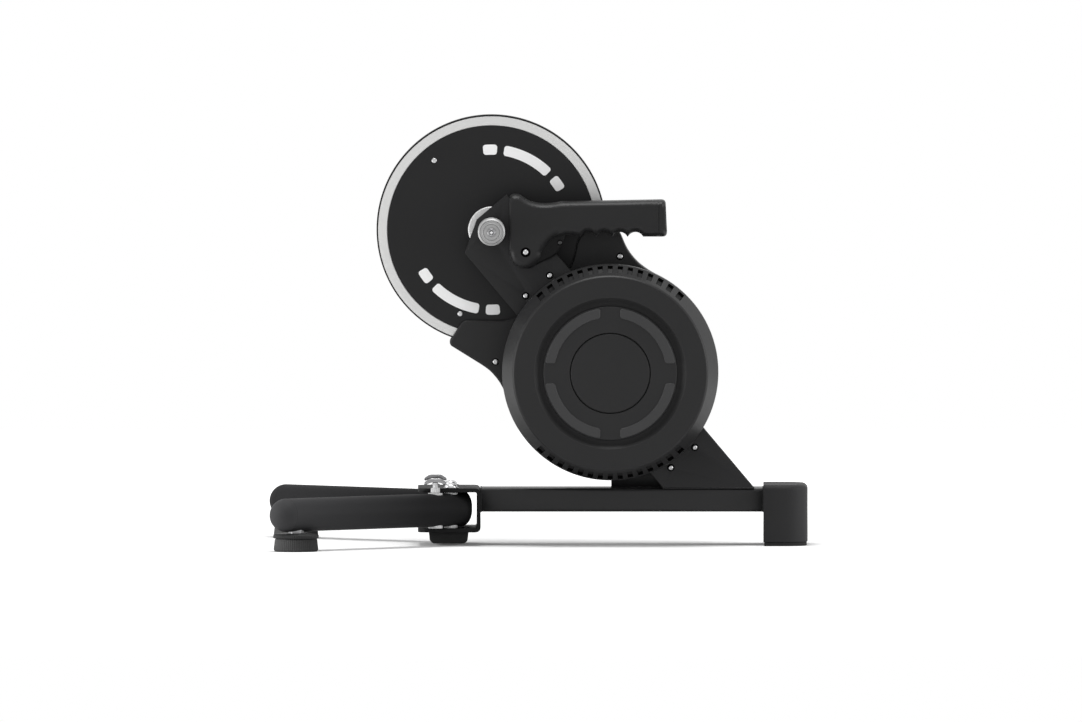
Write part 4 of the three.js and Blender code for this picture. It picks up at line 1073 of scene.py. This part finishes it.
handle = Sizes(
    near=41.0, far=1.0, farInBand=8.3, edge=4.0, back=189.6, gripTop=33.5, gripBottom=-6.0,
    tipHeight=40.5, front=19.5, lobeRadius=17.3, lobeDrop=23.3, capLength=8.7, scallops=4, pitch=17.0,
    first=104.6, depth=5.0, scallopRadius=9.2, endLean=1.3, endCorner=5.0, roundReach=6.5, roundDepth=9.0,
    throatReach=13.0, throatDepth=8.5, seam=0.5, brink=1.8, rearReach=3.5, rearDepth=2.2, cheek=34.7,
    seamReach=60.0, throatStart=6.0, cheekRounds=((0.2, 0.2), (3.0, 2.4)),
)
lobeSpot = axleSpot + (handle.front + handle.lobeRadius, -handle.lobeDrop)


# Head, grip, rounded end, four finger scallops and the lobe, joined clockwise
def handleOutline():
    front, edge = handle.front, handle.edge
    top, bottom, tip = handle.gripTop, handle.gripBottom, handle.tipHeight
    radius, drop = handle.lobeRadius, handle.lobeDrop
    lobe = front + radius
    length = handle.first - front
    rear, corner = handle.back, handle.endCorner
    endTop = rear - handle.endLean
    head = curve((front, tip - edge), (front + edge / 2, tip + edge / 4),
                 (front + 3 * edge, tip - edge / 2), steps=8)
    brow = curve(head[-1], (front + length * 0.25, top - edge * 0.8),
                 (front + length * 0.4, top - edge * 1.6), (front + length * 0.65, top - edge / 2), steps=24)
    shoulder = curve((endTop - corner, top), (endTop, top), (endTop, top - corner), steps=8)
    heel = curve((rear, bottom + corner), (rear, bottom), (rear - corner, bottom), steps=8)
    sink = handle.scallopRadius - handle.depth
    lift = math.asin(sink / handle.scallopRadius)
    fingers = []
    for i in range(handle.scallops - 1, -1, -1):
        centre = (handle.first + i * handle.pitch, bottom - sink)
        fingers.append(arc(centre, handle.scallopRadius, lift, math.pi - lift, 16))
    throat = curve((handle.first - handle.pitch / 2, bottom),
                   (handle.first - handle.pitch * 1.6, bottom + handle.depth),
                   (lobe + radius * 1.5, bottom), (lobe + radius, -drop), steps=20)
    chin = arc((lobe, -drop), radius, 0, -math.pi, 28)
    run = np.concatenate([head, brow, shoulder, heel, *fingers, throat, chin])
    return spaced(run + axleSpot)


# The part of an outline behind a line that passes through a point, square to a direction
def clipped(outline, point, direction):
    kept = []
    for start, end in zip(outline, np.roll(outline, -1, axis=0)):
        startDepth, endDepth = (start - point) @ direction, (end - point) @ direction
        if startDepth <= 0:
            kept.append(start)
        if (startDepth <= 0) != (endDepth <= 0):
            kept.append(start + (end - start) * startDepth / (startDepth - endDepth))
    return np.array(kept)


def makeHandle():
    outline = handleOutline()
    seamX = axle[0] + handle.back - handle.capLength
    seam = np.array([[seamX, axle[2] + side * handle.seamReach] for side in (-1, 1)])
    grip = clipped(outline, seam[0], np.array([1, 0]))
    end = clipped(outline, seam[0], np.array([-1, 0]))
    limit = strutPoint(0, -strut.halfWidth - strut.room)
    middle = (handle.near + handle.far) / 2
    # Each rounding is its reach and its depth
    wide, small = (handle.roundReach, handle.roundDepth), (handle.seam, handle.seam)
    brink, rear = (handle.brink, handle.brink), (handle.rearReach, handle.rearDepth)
    atSeam = (seam, small, small)
    tip = np.argmax(outline[:, 0])
    nearLobe = np.linalg.norm(outline - lobeSpot, axis=1) < 3 * handle.lobeRadius
    x, z = outline.T
    under = (x > lobeSpot[0] + handle.throatStart) & (z < axle[2] + handle.gripBottom)
    throat = outline[nearLobe & under]

    def part(name, shape, low, high, rounds):
        return moulded("handle_" + name, "handlePlastic", shape, low, high, rounds)

    rounds = [(outline, small, wide), (outline[[-1, 0]], small, brink), atSeam,
              (throat, small, (handle.throatReach, handle.throatDepth))]
    standIn("handle_near_shell", part("near_half", grip, middle, handle.near, rounds))
    behind = clipped(grip, limit, strutAcross)
    rounds = [(closedLine(outline), wide, small), atSeam]
    standIn("handle_far_shell", part("far_half", behind, handle.far, middle, rounds))
    inBand = clipped(grip, limit, -strutAcross)
    rounds = [(closedLine(outline), small, small)]
    trim(part("far_head", inBand, handle.farInBand, middle, rounds))
    rounds = [(outline[:tip], wide, wide), (outline[tip:], wide, wide),
              (outline[[tip - 1, tip]], rear, rear), atSeam]
    standIn("handle_end_cap", part("cap", end, handle.far, handle.near, rounds))


# The flange of the head, flat on the near plate, which sweeps up under the grip; its darker plastic is
# painted shade from the grip above
def makeCheek():
    shares = [[-1, 3], [-0.885, -0.5], [0, -1.05], [0.7, -0.75], [1.95, -0.15], [2.5, 1], [2.5, 3]]
    outline = eased(lobeSpot + handle.lobeRadius * np.array(shares), 8, 6)
    rounds = [(closedLine(outline), *handle.cheekRounds)]
    trim(moulded("handle_cheek", "shadedCheekPlastic", outline, plateFace, handle.cheek,
            rounds))


handleScrews = {
    "lobe": {"spot": (-13.8, -41.0, 317.4), "radius": 2.9, "seat": 5.3, "finish": "screwMetal"},
    "cheek": {"spot": (23.3, -34.7, 327.6), "radius": 2.3, "seat": 2.9, "finish": "darkMetal"},
}


def makeHandleScrews():
    for name, look in handleScrews.items():
        spot = np.array(look["spot"])
        sunkScrew(f"handle_{name}_{{}}", spot, -back, look["radius"], look["seat"], look["finish"])


makeHandle()
makeCheek()
makeHandleScrews()
print("handle made")

# Belt guard, placed in shares of the shafts' distance: along the band from the flywheel shaft up
# to the axle, and across it to the front

guard = Sizes(
    wall=2.5, depth=30.0, gap=0.3, radius=113.0, shaftHole=15.5, bossRadius=5.0, bossSeat=-2.7,
    socketReach=82.0, socketAngle=-35.0, socketRadius=7.3,
    front=((0.253, 0.53), (0.287, 0.511), (0.347, 0.498), (0.418, 0.499), (0.463, 0.51), (0.679, 0.58)),
    mouth=((0.712, 0.477), (0.722, 0.433), (0.545, 0.228), (0.533, 0.046), (0.557, -0.195),
           (0.663, -0.331)),
    top=((0.598, -0.535), (0.525, -0.52), (0.458, -0.498), (0.407, -0.491), (0.35, -0.492),
         (0.279, -0.508), (0.222, -0.53)),
    endReach=5.0, mouthReach=30.0, tipReach=(9.0, 4.0), wallEdges=(0, 2.2), rimEdges=(0.4, 0),
    bossEdges=(0.1, 0.1), lidEdges=(1.6, 0.3),
    tip=(0.675, -0.443), bosses=((0.34, 0), (-0.26, 0.11), (-0.26, -0.11)),
)


def guardPoint(place):
    return strutPoint(strutReach * (1 - place[0]), strutReach * place[1])


# The rim's line from the top, round the flywheel shaft, to the front, then the mouth and the tip
def guardOutline():
    top = np.array([guardPoint(place) for place in guard.top])
    front = np.array([guardPoint(place) for place in guard.front])
    centre = shaftSpot
    start, end = (math.atan2(*(point - centre)[::-1]) for point in (top[-1], front[0]))
    end -= fullTurn if end > start else 0
    bottom = arc(centre, guard.radius, start, end, 40)[1:-1]
    run = np.concatenate([top, bottom, front])
    rest = np.array([guardPoint(place) for place in (*guard.mouth, guard.tip)])
    reaches = np.full(len(run) + len(rest), guard.mouthReach)
    reaches[len(run) - 1:len(run) + 2] = guard.endReach
    reaches[-2:] = guard.tipReach
    reaches[0] = guard.endReach
    steps = 5
    smooth = eased(np.concatenate([run, rest]), reaches, steps)
    return smooth, smooth[:len(run) * (steps + 1)]


def makeGuard():
    outline, rim = guardOutline()
    wall, depth = guard.wall, guard.depth
    hole = circle(shaftSpot, guard.shaftHole)
    standIn("guard_inner_shell", slab("guard_near_wall", "guardPlastic", outline, -wall, 0,
            guard.wallEdges, [hole], steps=5))
    rim = spaced(rim)
    side = np.gradient(rim, axis=0)
    normal = np.column_stack([side[:, 1], -side[:, 0]]) / np.linalg.norm(side, axis=1, keepdims=True)
    strip = np.concatenate([rim, (rim + normal * wall)[::-1]])
    trim(slab("guard_rim", "guardPlastic", strip, -depth, -wall, guard.rimEdges))
    for i, share in enumerate(guard.bosses):
        trim(slab(f"guard_boss_{i + 1}", "guardPlastic",
                circle(guardPoint(share), guard.bossRadius, 32), -wall, -guard.bossSeat,
                guard.bossEdges))
    spot = around(shaftSpot, guard.socketReach, math.radians(guard.socketAngle))[0]
    socket = circle(spot, guard.socketRadius)
    inner = depth + guard.gap
    standIn("guard_outer_shell", slab("guard_lid", "guardPlastic", outline, -inner - wall, -inner,
            guard.lidEdges, [socket], steps=6))


guardScrews = Sizes(
    seat=3.9, nearRadius=2.9, farRadius=2.7,
    near=((88.1, 311.3), (-46.3, 197.3)),
    far=((0.53, 0.475), (0.0, 0.49), (-0.42, 0.25), (-0.42, -0.25), (0.0, -0.49), (0.55, -0.47)),
)


def makeGuardScrews():
    face = guard.depth + guard.gap + guard.wall
    for i, (x, z) in enumerate(guardScrews.near):
        sunkScrew(f"guard_near_{{}}_{i + 1}", np.array((x, 0.0, z)), -back,
                  guardScrews.nearRadius, guardScrews.seat)
    for i, share in enumerate(guardScrews.far):
        x, z = guardPoint(share)
        sunkScrew(f"guard_far_{{}}_{i + 1}", np.array((x, face, z)), back,
                  guardScrews.farRadius, guardScrews.seat)


makeGuard()
makeGuardScrews()
print("guard made")

# Folding legs and levelling feet

leg = Sizes(
    radius=18.0, wall=2.5, reach=232.4, inner=15.0, sides=96,
    collars=((0, 7.4, 5.2), (22.0, 7.8, 3.6)),  # reach along the leg, radius and bore
    capSeam=0.5, collarLap=1.2, collarLow=19.75, collarHigh=57.85, collarTuck=8.0,
)


# Along a leg, from its pivot to its foot
def legDirection(side):
    along = (pivotOf(side + "_foot_turn") - pivotOf(side + "_leg_fold")) * (1, 1, 0)
    return along / np.linalg.norm(along)


def makeLeg(side):
    pivot = pivotOf(side + "_leg_fold")
    along = legDirection(side)
    radius, inner = leg.radius, leg.radius - leg.wall
    turns = np.linspace(0, quarterTurn, 17)[1:-1]
    dome = np.column_stack([radius * np.cos(turns), leg.reach + radius * np.sin(turns)])
    reach, seam, start = leg.reach, leg.capSeam, -leg.inner
    profile = np.array([[inner, start], [radius, start], [radius, reach - 2 * seam],
                        [radius - seam, reach - seam], [radius, reach], *dome,
                        [0, reach + radius], [0, reach + inner / 2], [inner, reach]])
    # The far leg takes a darker copy of the paint, painted shade
    finish = "legCoat" if side == "near" else "shadedFarLegCoat"
    obj = turned(side + "_leg_round", finish, profile, pivot, along, leg.sides, ease=0.4, smoothSteps=2)
    level = pivot * (1, 1, 0)
    holes = [(level + along * far, wide - leg.collarLap) for far, wide, _ in leg.collars]
    drilled(obj, holes, leg.collarLow - 10, leg.collarHigh + 10)
    standIn(side + "_leg_tube", obj)


# Pale washers between the tube and the bracket's plates, round both of the leg's sleeves
def makeCollars(side):
    pivot = pivotOf(side + "_leg_fold") * (1, 1, 0)
    along = legDirection(side)
    low, high, tuck = leg.collarLow, leg.collarHigh, leg.collarTuck
    for i, (reach, radius, bore) in enumerate(leg.collars):
        for j, (start, end) in enumerate(((low, low + tuck), (high - tuck, high))):
            name = f"{side}_collar_{i + 1}_{j + 1}"
            ring = rectangle(bore, radius, start, end)
            trim(turned(name, "collarPlastic", ring, pivot + along * reach, up, 64,
                    0.15), side + "_leg")


foot = Sizes(
    treadTop=22.3, treadBottom=24.6, toe=2.3, knurls=64, knurlDepth=0.5, sides=512, nutRadius=8.0,
    nutWidth=15.2, nutHeight=3.4, nutBore=5.2, toeWidth=1.4, toeLean=0.4, shoulderWidth=0.6,
    shoulderHeight=1.2, ribReach=1.5, flangeEdge=1.6,
)


# Tread and flange are turned about the foot's screw, and a fine wave round the rim makes the knurl
def makeTread(side, centre):
    high = boxOf(side + "_foot_tread")[1]
    tread = [[0, 0], [foot.treadBottom - foot.toeWidth, 0], [foot.treadBottom - foot.toeLean, foot.toe],
             [foot.treadTop + foot.shoulderWidth, high[2] - foot.shoulderHeight],
             [foot.treadTop, high[2]], [0, high[2]]]
    ribbed = waved(foot.knurls, foot.knurlDepth,
                   lambda radii, heights: (radii > foot.treadTop - foot.ribReach) & (heights > 0.4))
    # The rubber carries painted light and shade across the tread
    standIn(side + "_foot_tread", turned(side + "_foot_rubber", "treadRubber", tread, centre, up, foot.sides,
            0.6, ribbed, 3))


def makeFlange(side, centre):
    low, high = boxOf(side + "_foot_flange")
    radius, edge = (high[0] - low[0]) / 2, foot.flangeEdge
    flange = [[0, low[2]], [radius, low[2]], [radius, high[2] - edge], [radius - edge, high[2]],
              [0, high[2]]]
    knurled = waved(foot.knurls, foot.knurlDepth, lambda radii, heights: radii > radius - 2)
    standIn(side + "_foot_flange", turned(side + "_foot_disc", "footPlastic", flange, centre, up, foot.sides,
            0.5, knurled, 3))


# The threaded insert in the leg, and its hexagon nut below
def makeInsert(side, centre):
    low, high = boxOf(side + "_foot_insert")
    bore, nut, waist = foot.nutBore, foot.nutRadius, low[2] + foot.nutHeight
    insert = [[bore, low[2]], [nut + 0.2, low[2]], [nut + 0.2, waist],
              [nut - 0.1, waist], [nut - 0.1, high[2]], [bore, high[2]]]

    def hexNut(radii, heights, angle):
        onNut = (radii > nut) & (heights < waist + 0.1)
        return np.where(onNut, np.minimum(hexagon(angle, foot.nutWidth), nut + 0.2), radii), heights

    standIn(side + "_foot_insert", turned(side + "_foot_nut", "toolMetal", insert, centre, up, 96, 0.25,
            hexNut, 2))


for side in ("near", "far"):
    makeLeg(side)
    makeCollars(side)
    footCentre = pivotOf(side + "_foot_turn") * (1, 1, 0)
    makeTread(side, footCentre)
    makeFlange(side, footCentre)
    makeInsert(side, footCentre)
print("legs and feet made")

# Pivot bolts, lock pins and the bolts of the side plates

bolts = Sizes(
    pivotSeat=62.9, pivotSkirt=1.2, pivotShank=4.8, sleeveBore=3.3, sleeveRadius=5.0, pinRadius=3.0,
    flutes=18, fluteDepth=0.45, plateHead=2.9, plateHeadHeight=2.2, plateSeat=3.9,
    plateShank=3.0, spacerRadius=8.0, spacerBore=3.3, seatSink=0.3, seatHeight=0.35,
    washerGap=0.4, washerRim=1.6, washerSink=0.25, washerRise=0.6, pinChamfer=0.8, handleEdge=1.2,
)


def makePivotBolt(side):
    low, high = boxOf(side + "_pivot_bolt")
    centre = (low + high) / 2 * (1, 1, 0)
    head, shank = (high[0] - low[0]) / 2, bolts.pivotShank
    top = bolts.pivotSeat
    skirt = top + bolts.pivotSkirt
    turns = np.linspace(0, quarterTurn, 10)
    dome = np.column_stack([head * np.cos(turns), skirt + (high[2] - skirt) * np.sin(turns)])
    profile = [[0, low[2]], [shank, low[2]], [shank, top], [head, top], *dome[:-1].tolist(), [0, high[2]]]
    standIn(side + "_pivot_bolt", turned(side + "_pivot_head", "brightMetal", profile, centre, up, 64, 0.2,
            smoothSteps=2))
    ring = rectangle(shank + bolts.washerGap, head + bolts.washerRim, top - bolts.washerSink,
                     top + bolts.washerRise)
    trim(turned(side + "_pivot_washer", "toolMetal", ring, centre, up, 64, 0.2,
            smoothSteps=2))


def makeLock(side):
    low, high = boxOf(side + "_lock_sleeve")
    centre = (low + high) / 2 * (1, 1, 0)
    bore, radius, pin = bolts.sleeveBore, bolts.sleeveRadius, bolts.pinRadius
    profile = rectangle(bore, radius, low[2], high[2])
    fluted = waved(bolts.flutes, bolts.fluteDepth, lambda radii, heights: radii > bore + 1)
    standIn(side + "_lock_sleeve", turned(side + "_lock_bush", "sleeveMetal", profile, centre, up, 144, 0.3,
            fluted, 3))
    low, high = boxOf(side + "_lock_pin")
    edge = bolts.pinChamfer
    profile = [[0, low[2]], [pin - edge, low[2]], [pin, low[2] + edge], [pin, high[2]], [0, high[2]]]
    standIn(side + "_lock_pin", turned(side + "_lock_rod", "sleeveMetal", profile, centre, up, 48, 0.3,
            smoothSteps=3))
    softened(side + "_lock_handle", "toolMetal", bolts.handleEdge, segments=5)


def makeFrameBolts():
    for i in range(1, 5):
        low, high = boxOf(f"frame_bolt_{i}")
        centre = (low + high) / 2 * (1, 0, 1)
        spot = centre - back * plateFace
        screwSeatShade(f"frame_bolt_seat_{i}", spot + back * bolts.seatSink, -back, bolts.plateSeat,
                  bolts.seatHeight)
        screw(f"frame_bolt_head_{i}", spot, -back, bolts.plateHead, bolts.plateHeadHeight)
        shank = rectangle(0, bolts.plateShank, -high[1], plateFace)
        standIn(f"frame_bolt_{i}", turned(f"frame_bolt_shank_{i}", "zincMetal", shank, centre, -back, 32,
                0.2, smoothSteps=2))
        low, high = boxOf(f"plate_spacer_{i}")
        spacer = rectangle(bolts.spacerBore, bolts.spacerRadius, -high[1], -low[1])
        standIn(f"plate_spacer_{i}", turned(f"spacer_{i}", "zincMetal", spacer, centre, -back, 48, 0.5))


for side in ("near", "far"):
    makePivotBolt(side)
    makeLock(side)
makeFrameBolts()
print("bolts and locks made")

# Rear foot: square where the beam ends, well rounded behind

rearFoot = Sizes(
    corner=32.0, edge=6.0, lowEdge=0.4, frontEdge=0.5, padInset=1.0, padEdges=(0.7, 0.3),
)


def rearOutline(low, high, inset):
    front, rear = low[0] + inset, high[0] - inset
    half = high[1] - inset
    corner = rearFoot.corner - inset
    return eased(rectangle(front, rear, -half, half), np.array([0, corner, corner, 0]), 20)


def makeRearFoot():
    low, high = boxOf("rear_foot_shell")
    outline = rearOutline(low, high, 0)
    edge, lowEdge, front = ((size, size) for size in (rearFoot.edge, rearFoot.lowEdge, rearFoot.frontEdge))
    rounds = [(outline, lowEdge, edge), (outline[[-1, 0]], front, front)]
    # Its plastic carries painted light, lighter towards the rounded rear
    standIn("rear_foot_shell", moulded("rear_foot_body", "rearPlastic", outline, low[2], high[2], rounds,
            flat="XY"))
    outline = rearOutline(low, high, rearFoot.padInset)
    low, high = boxOf("rear_foot_pad")
    standIn("rear_foot_pad", slab("rear_foot_sole", "padRubber", outline, low[2], high[2],
            rearFoot.padEdges, flat="XY"))


makeRearFoot()
print("rear foot made")

# Welds where the beam meets the bracket and the plates, and the seal at the rear foot

beamSection = Sizes(halfWidth=30.0, low=36.4, high=61.8, corner=4.0)
welds = Sizes(bracket=0.7, plate=0.9, seal=0.5, plateInset=0.5, plateCorner=0.8, sink=0.1, lift=0.3)


def makeWelds():
    half, low, high = beamSection.halfWidth, beamSection.low, beamSection.high
    section = eased(rectangle(-half, half, low, high), beamSection.corner, 6)
    start, end = (box[0] for box in boxOf("main_beam"))
    trim(bead("bracket_weld", "powderCoat", section, welds.bracket, "YZ",
            start + welds.sink))
    trim(bead("rear_seal", "padRubber", section, welds.seal, "YZ", end - welds.sink,
            ripple=0))
    inset = welds.plateInset
    for name in ("near_side_plate", "far_side_plate"):
        low, high = boxOf(name)
        places = np.array([vertex.co for vertex in nodes[name].data.vertices]) / mm
        onFoot = places[places[:, 2] < low[2] + 0.05, 0]
        base = rectangle(onFoot.min() + inset, onFoot.max() - inset, low[1] + inset, high[1] - inset)
        outline = eased(base, welds.plateCorner, 3)
        trim(bead(name + "_weld", "powderCoat", outline, welds.plate, "XY",
                beamSection.high + welds.lift))


makeWelds()
print("welds made")

# Bumper under the bracket

bumper = Sizes(taper=1.5, corner=5.0, edge=2.0)


# Two slanted sides, and well rounded corners below
def makeBumper():
    low, high = boxOf("centre_bumper")
    taper, corner = bumper.taper, bumper.corner
    corners = [(low[0], high[2]), (low[0] + taper, low[2]), (high[0] - taper, low[2]), (high[0], high[2])]
    outline = eased(corners, np.array([0, corner, corner, 0]), 8)
    edges = (bumper.edge, bumper.edge)
    standIn("centre_bumper", slab("bumper_block", "bumperRubber", outline, -high[1], -low[1], edges))


makeBumper()
print("bumper made")

# Steel plates, beam and bracket, and the finishes of the nodes that stay as they are

softCopies = {
    "main_beam": ("beamCoat", 0.5),
    # The bracket and the far plate take darker copies of the coat, painted shade
    "front_bracket": ("shadedBracketCoat", 1.6),
    "near_side_plate": ("powderCoat", 0.6),
    "far_side_plate": ("shadedFarPlateCoat", 0.6),
}
keptFinishes = {
    "zincMetal": ("axle", "axle_spacer", "near_axle_bearing", "far_axle_bearing", "flywheel_shaft",
                  "near_shaft_bearing", "far_shaft_bearing"),
    "castIron": ("flywheel",),
    "hubMetal": ("small_pulley",),
    "coilCopper": ("brake_core",),
    "boardGreen": ("control_board",),
    "guardPlastic": ("power_socket",),
    "toolMetal": ("near_foot_stud", "far_foot_stud"),
}
for node, (finish, width) in softCopies.items():
    softened(node, finish, width)
for finish, kept in keptFinishes.items():
    for node in kept:
        dress(nodes[node], finish)
print("plates and beam made")

# Floor, world and lamps

studio = Sizes(
    floorSize=6000, floorColor=0.9,
    nearGlow=0.06,  # added to what the camera sees of the floor, under the object
    farGlow=0.72, glowStart=330, glowEnd=1100, ambient=0.4, background=1.0,
    aim=200,  # height that the lamps face
)


# One where a camera, glossy or transmission ray looks
def whiteRays(tree):
    path = tree.nodes.new("ShaderNodeLightPath")
    first = mathNode(tree, "MAXIMUM", path.outputs["Is Camera Ray"], path.outputs["Is Glossy Ray"])
    return mathNode(tree, "MAXIMUM", first, path.outputs["Is Transmission Ray"])


# A matte floor that keeps the shadow, and glows more the farther it lies from the object
def makeFloor():
    half = studio.floorSize / 2 * mm
    mesh = bpy.data.meshes.new("floor")
    corners = [(-half, -half, 0), (half, -half, 0), (half, half, 0), (-half, half, 0)]
    mesh.from_pydata(corners, [], [[0, 1, 2, 3]])
    obj = bpy.data.objects.new("floor", mesh)
    bpy.context.scene.collection.objects.link(obj)
    material = bpy.data.materials.new("paleFloor")
    material.use_nodes = True
    tree = material.node_tree
    tree.nodes.clear()
    matte = newNode(tree, "BsdfDiffuse", {"Color": (*[studio.floorColor] * 3, 1)})
    reach = vectorNode(tree, "LENGTH", {0: objectPlace(tree)})["Value"]
    places = (studio.glowStart * mm, studio.glowEnd * mm)
    levels = (studio.nearGlow, studio.farGlow)
    level = ranged(tree, reach, places, levels, interpolation_type="SMOOTHSTEP")
    strength = mathNode(tree, "MULTIPLY", whiteRays(tree), level)
    glow = newNode(tree, "Emission", {"Color": (1, 1, 1, 1), "Strength": strength})
    both = newNode(tree, "AddShader", {0: matte.outputs[0], 1: glow.outputs[0]})
    newNode(tree, "OutputMaterial", {"Surface": both.outputs[0]})
    mesh.materials.append(material)


def makeWorld():
    world = bpy.data.worlds.new("studio")
    bpy.context.scene.world = world
    world.use_nodes = True
    tree = world.node_tree
    seen = mathNode(tree, "MULTIPLY", whiteRays(tree), studio.background - studio.ambient)
    strength = mathNode(tree, "ADD", seen, studio.ambient)
    feed(tree, tree.nodes["Background"], {"Color": (1, 1, 1, 1), "Strength": strength})


lamps = {
    "topLamp": {"place": (0, -200, 2200), "size": 1200, "power": 38},
    "leftLamp": {"place": (-860, -280, 190), "size": 620, "power": 5.2},
    "rightLamp": {"place": (1400, -320, 460), "size": 800, "power": 9},
}


def makeLamps():
    target = Vector(up * studio.aim * mm)
    for name, lamp in lamps.items():
        data = bpy.data.lights.new(name, "AREA")
        data.shape = "DISK"
        data.size = lamp["size"] * mm
        data.energy = lamp["power"]
        obj = bpy.data.objects.new(name, data)
        obj.location = Vector(lamp["place"]) * mm
        obj.rotation_euler = (target - obj.location).to_track_quat("-Z", "Y").to_euler()
        obj.visible_camera = False
        bpy.context.scene.collection.objects.link(obj)


makeFloor()
makeWorld()
makeLamps()
bpy.context.scene.view_settings.view_transform = "Standard"
print("studio made")
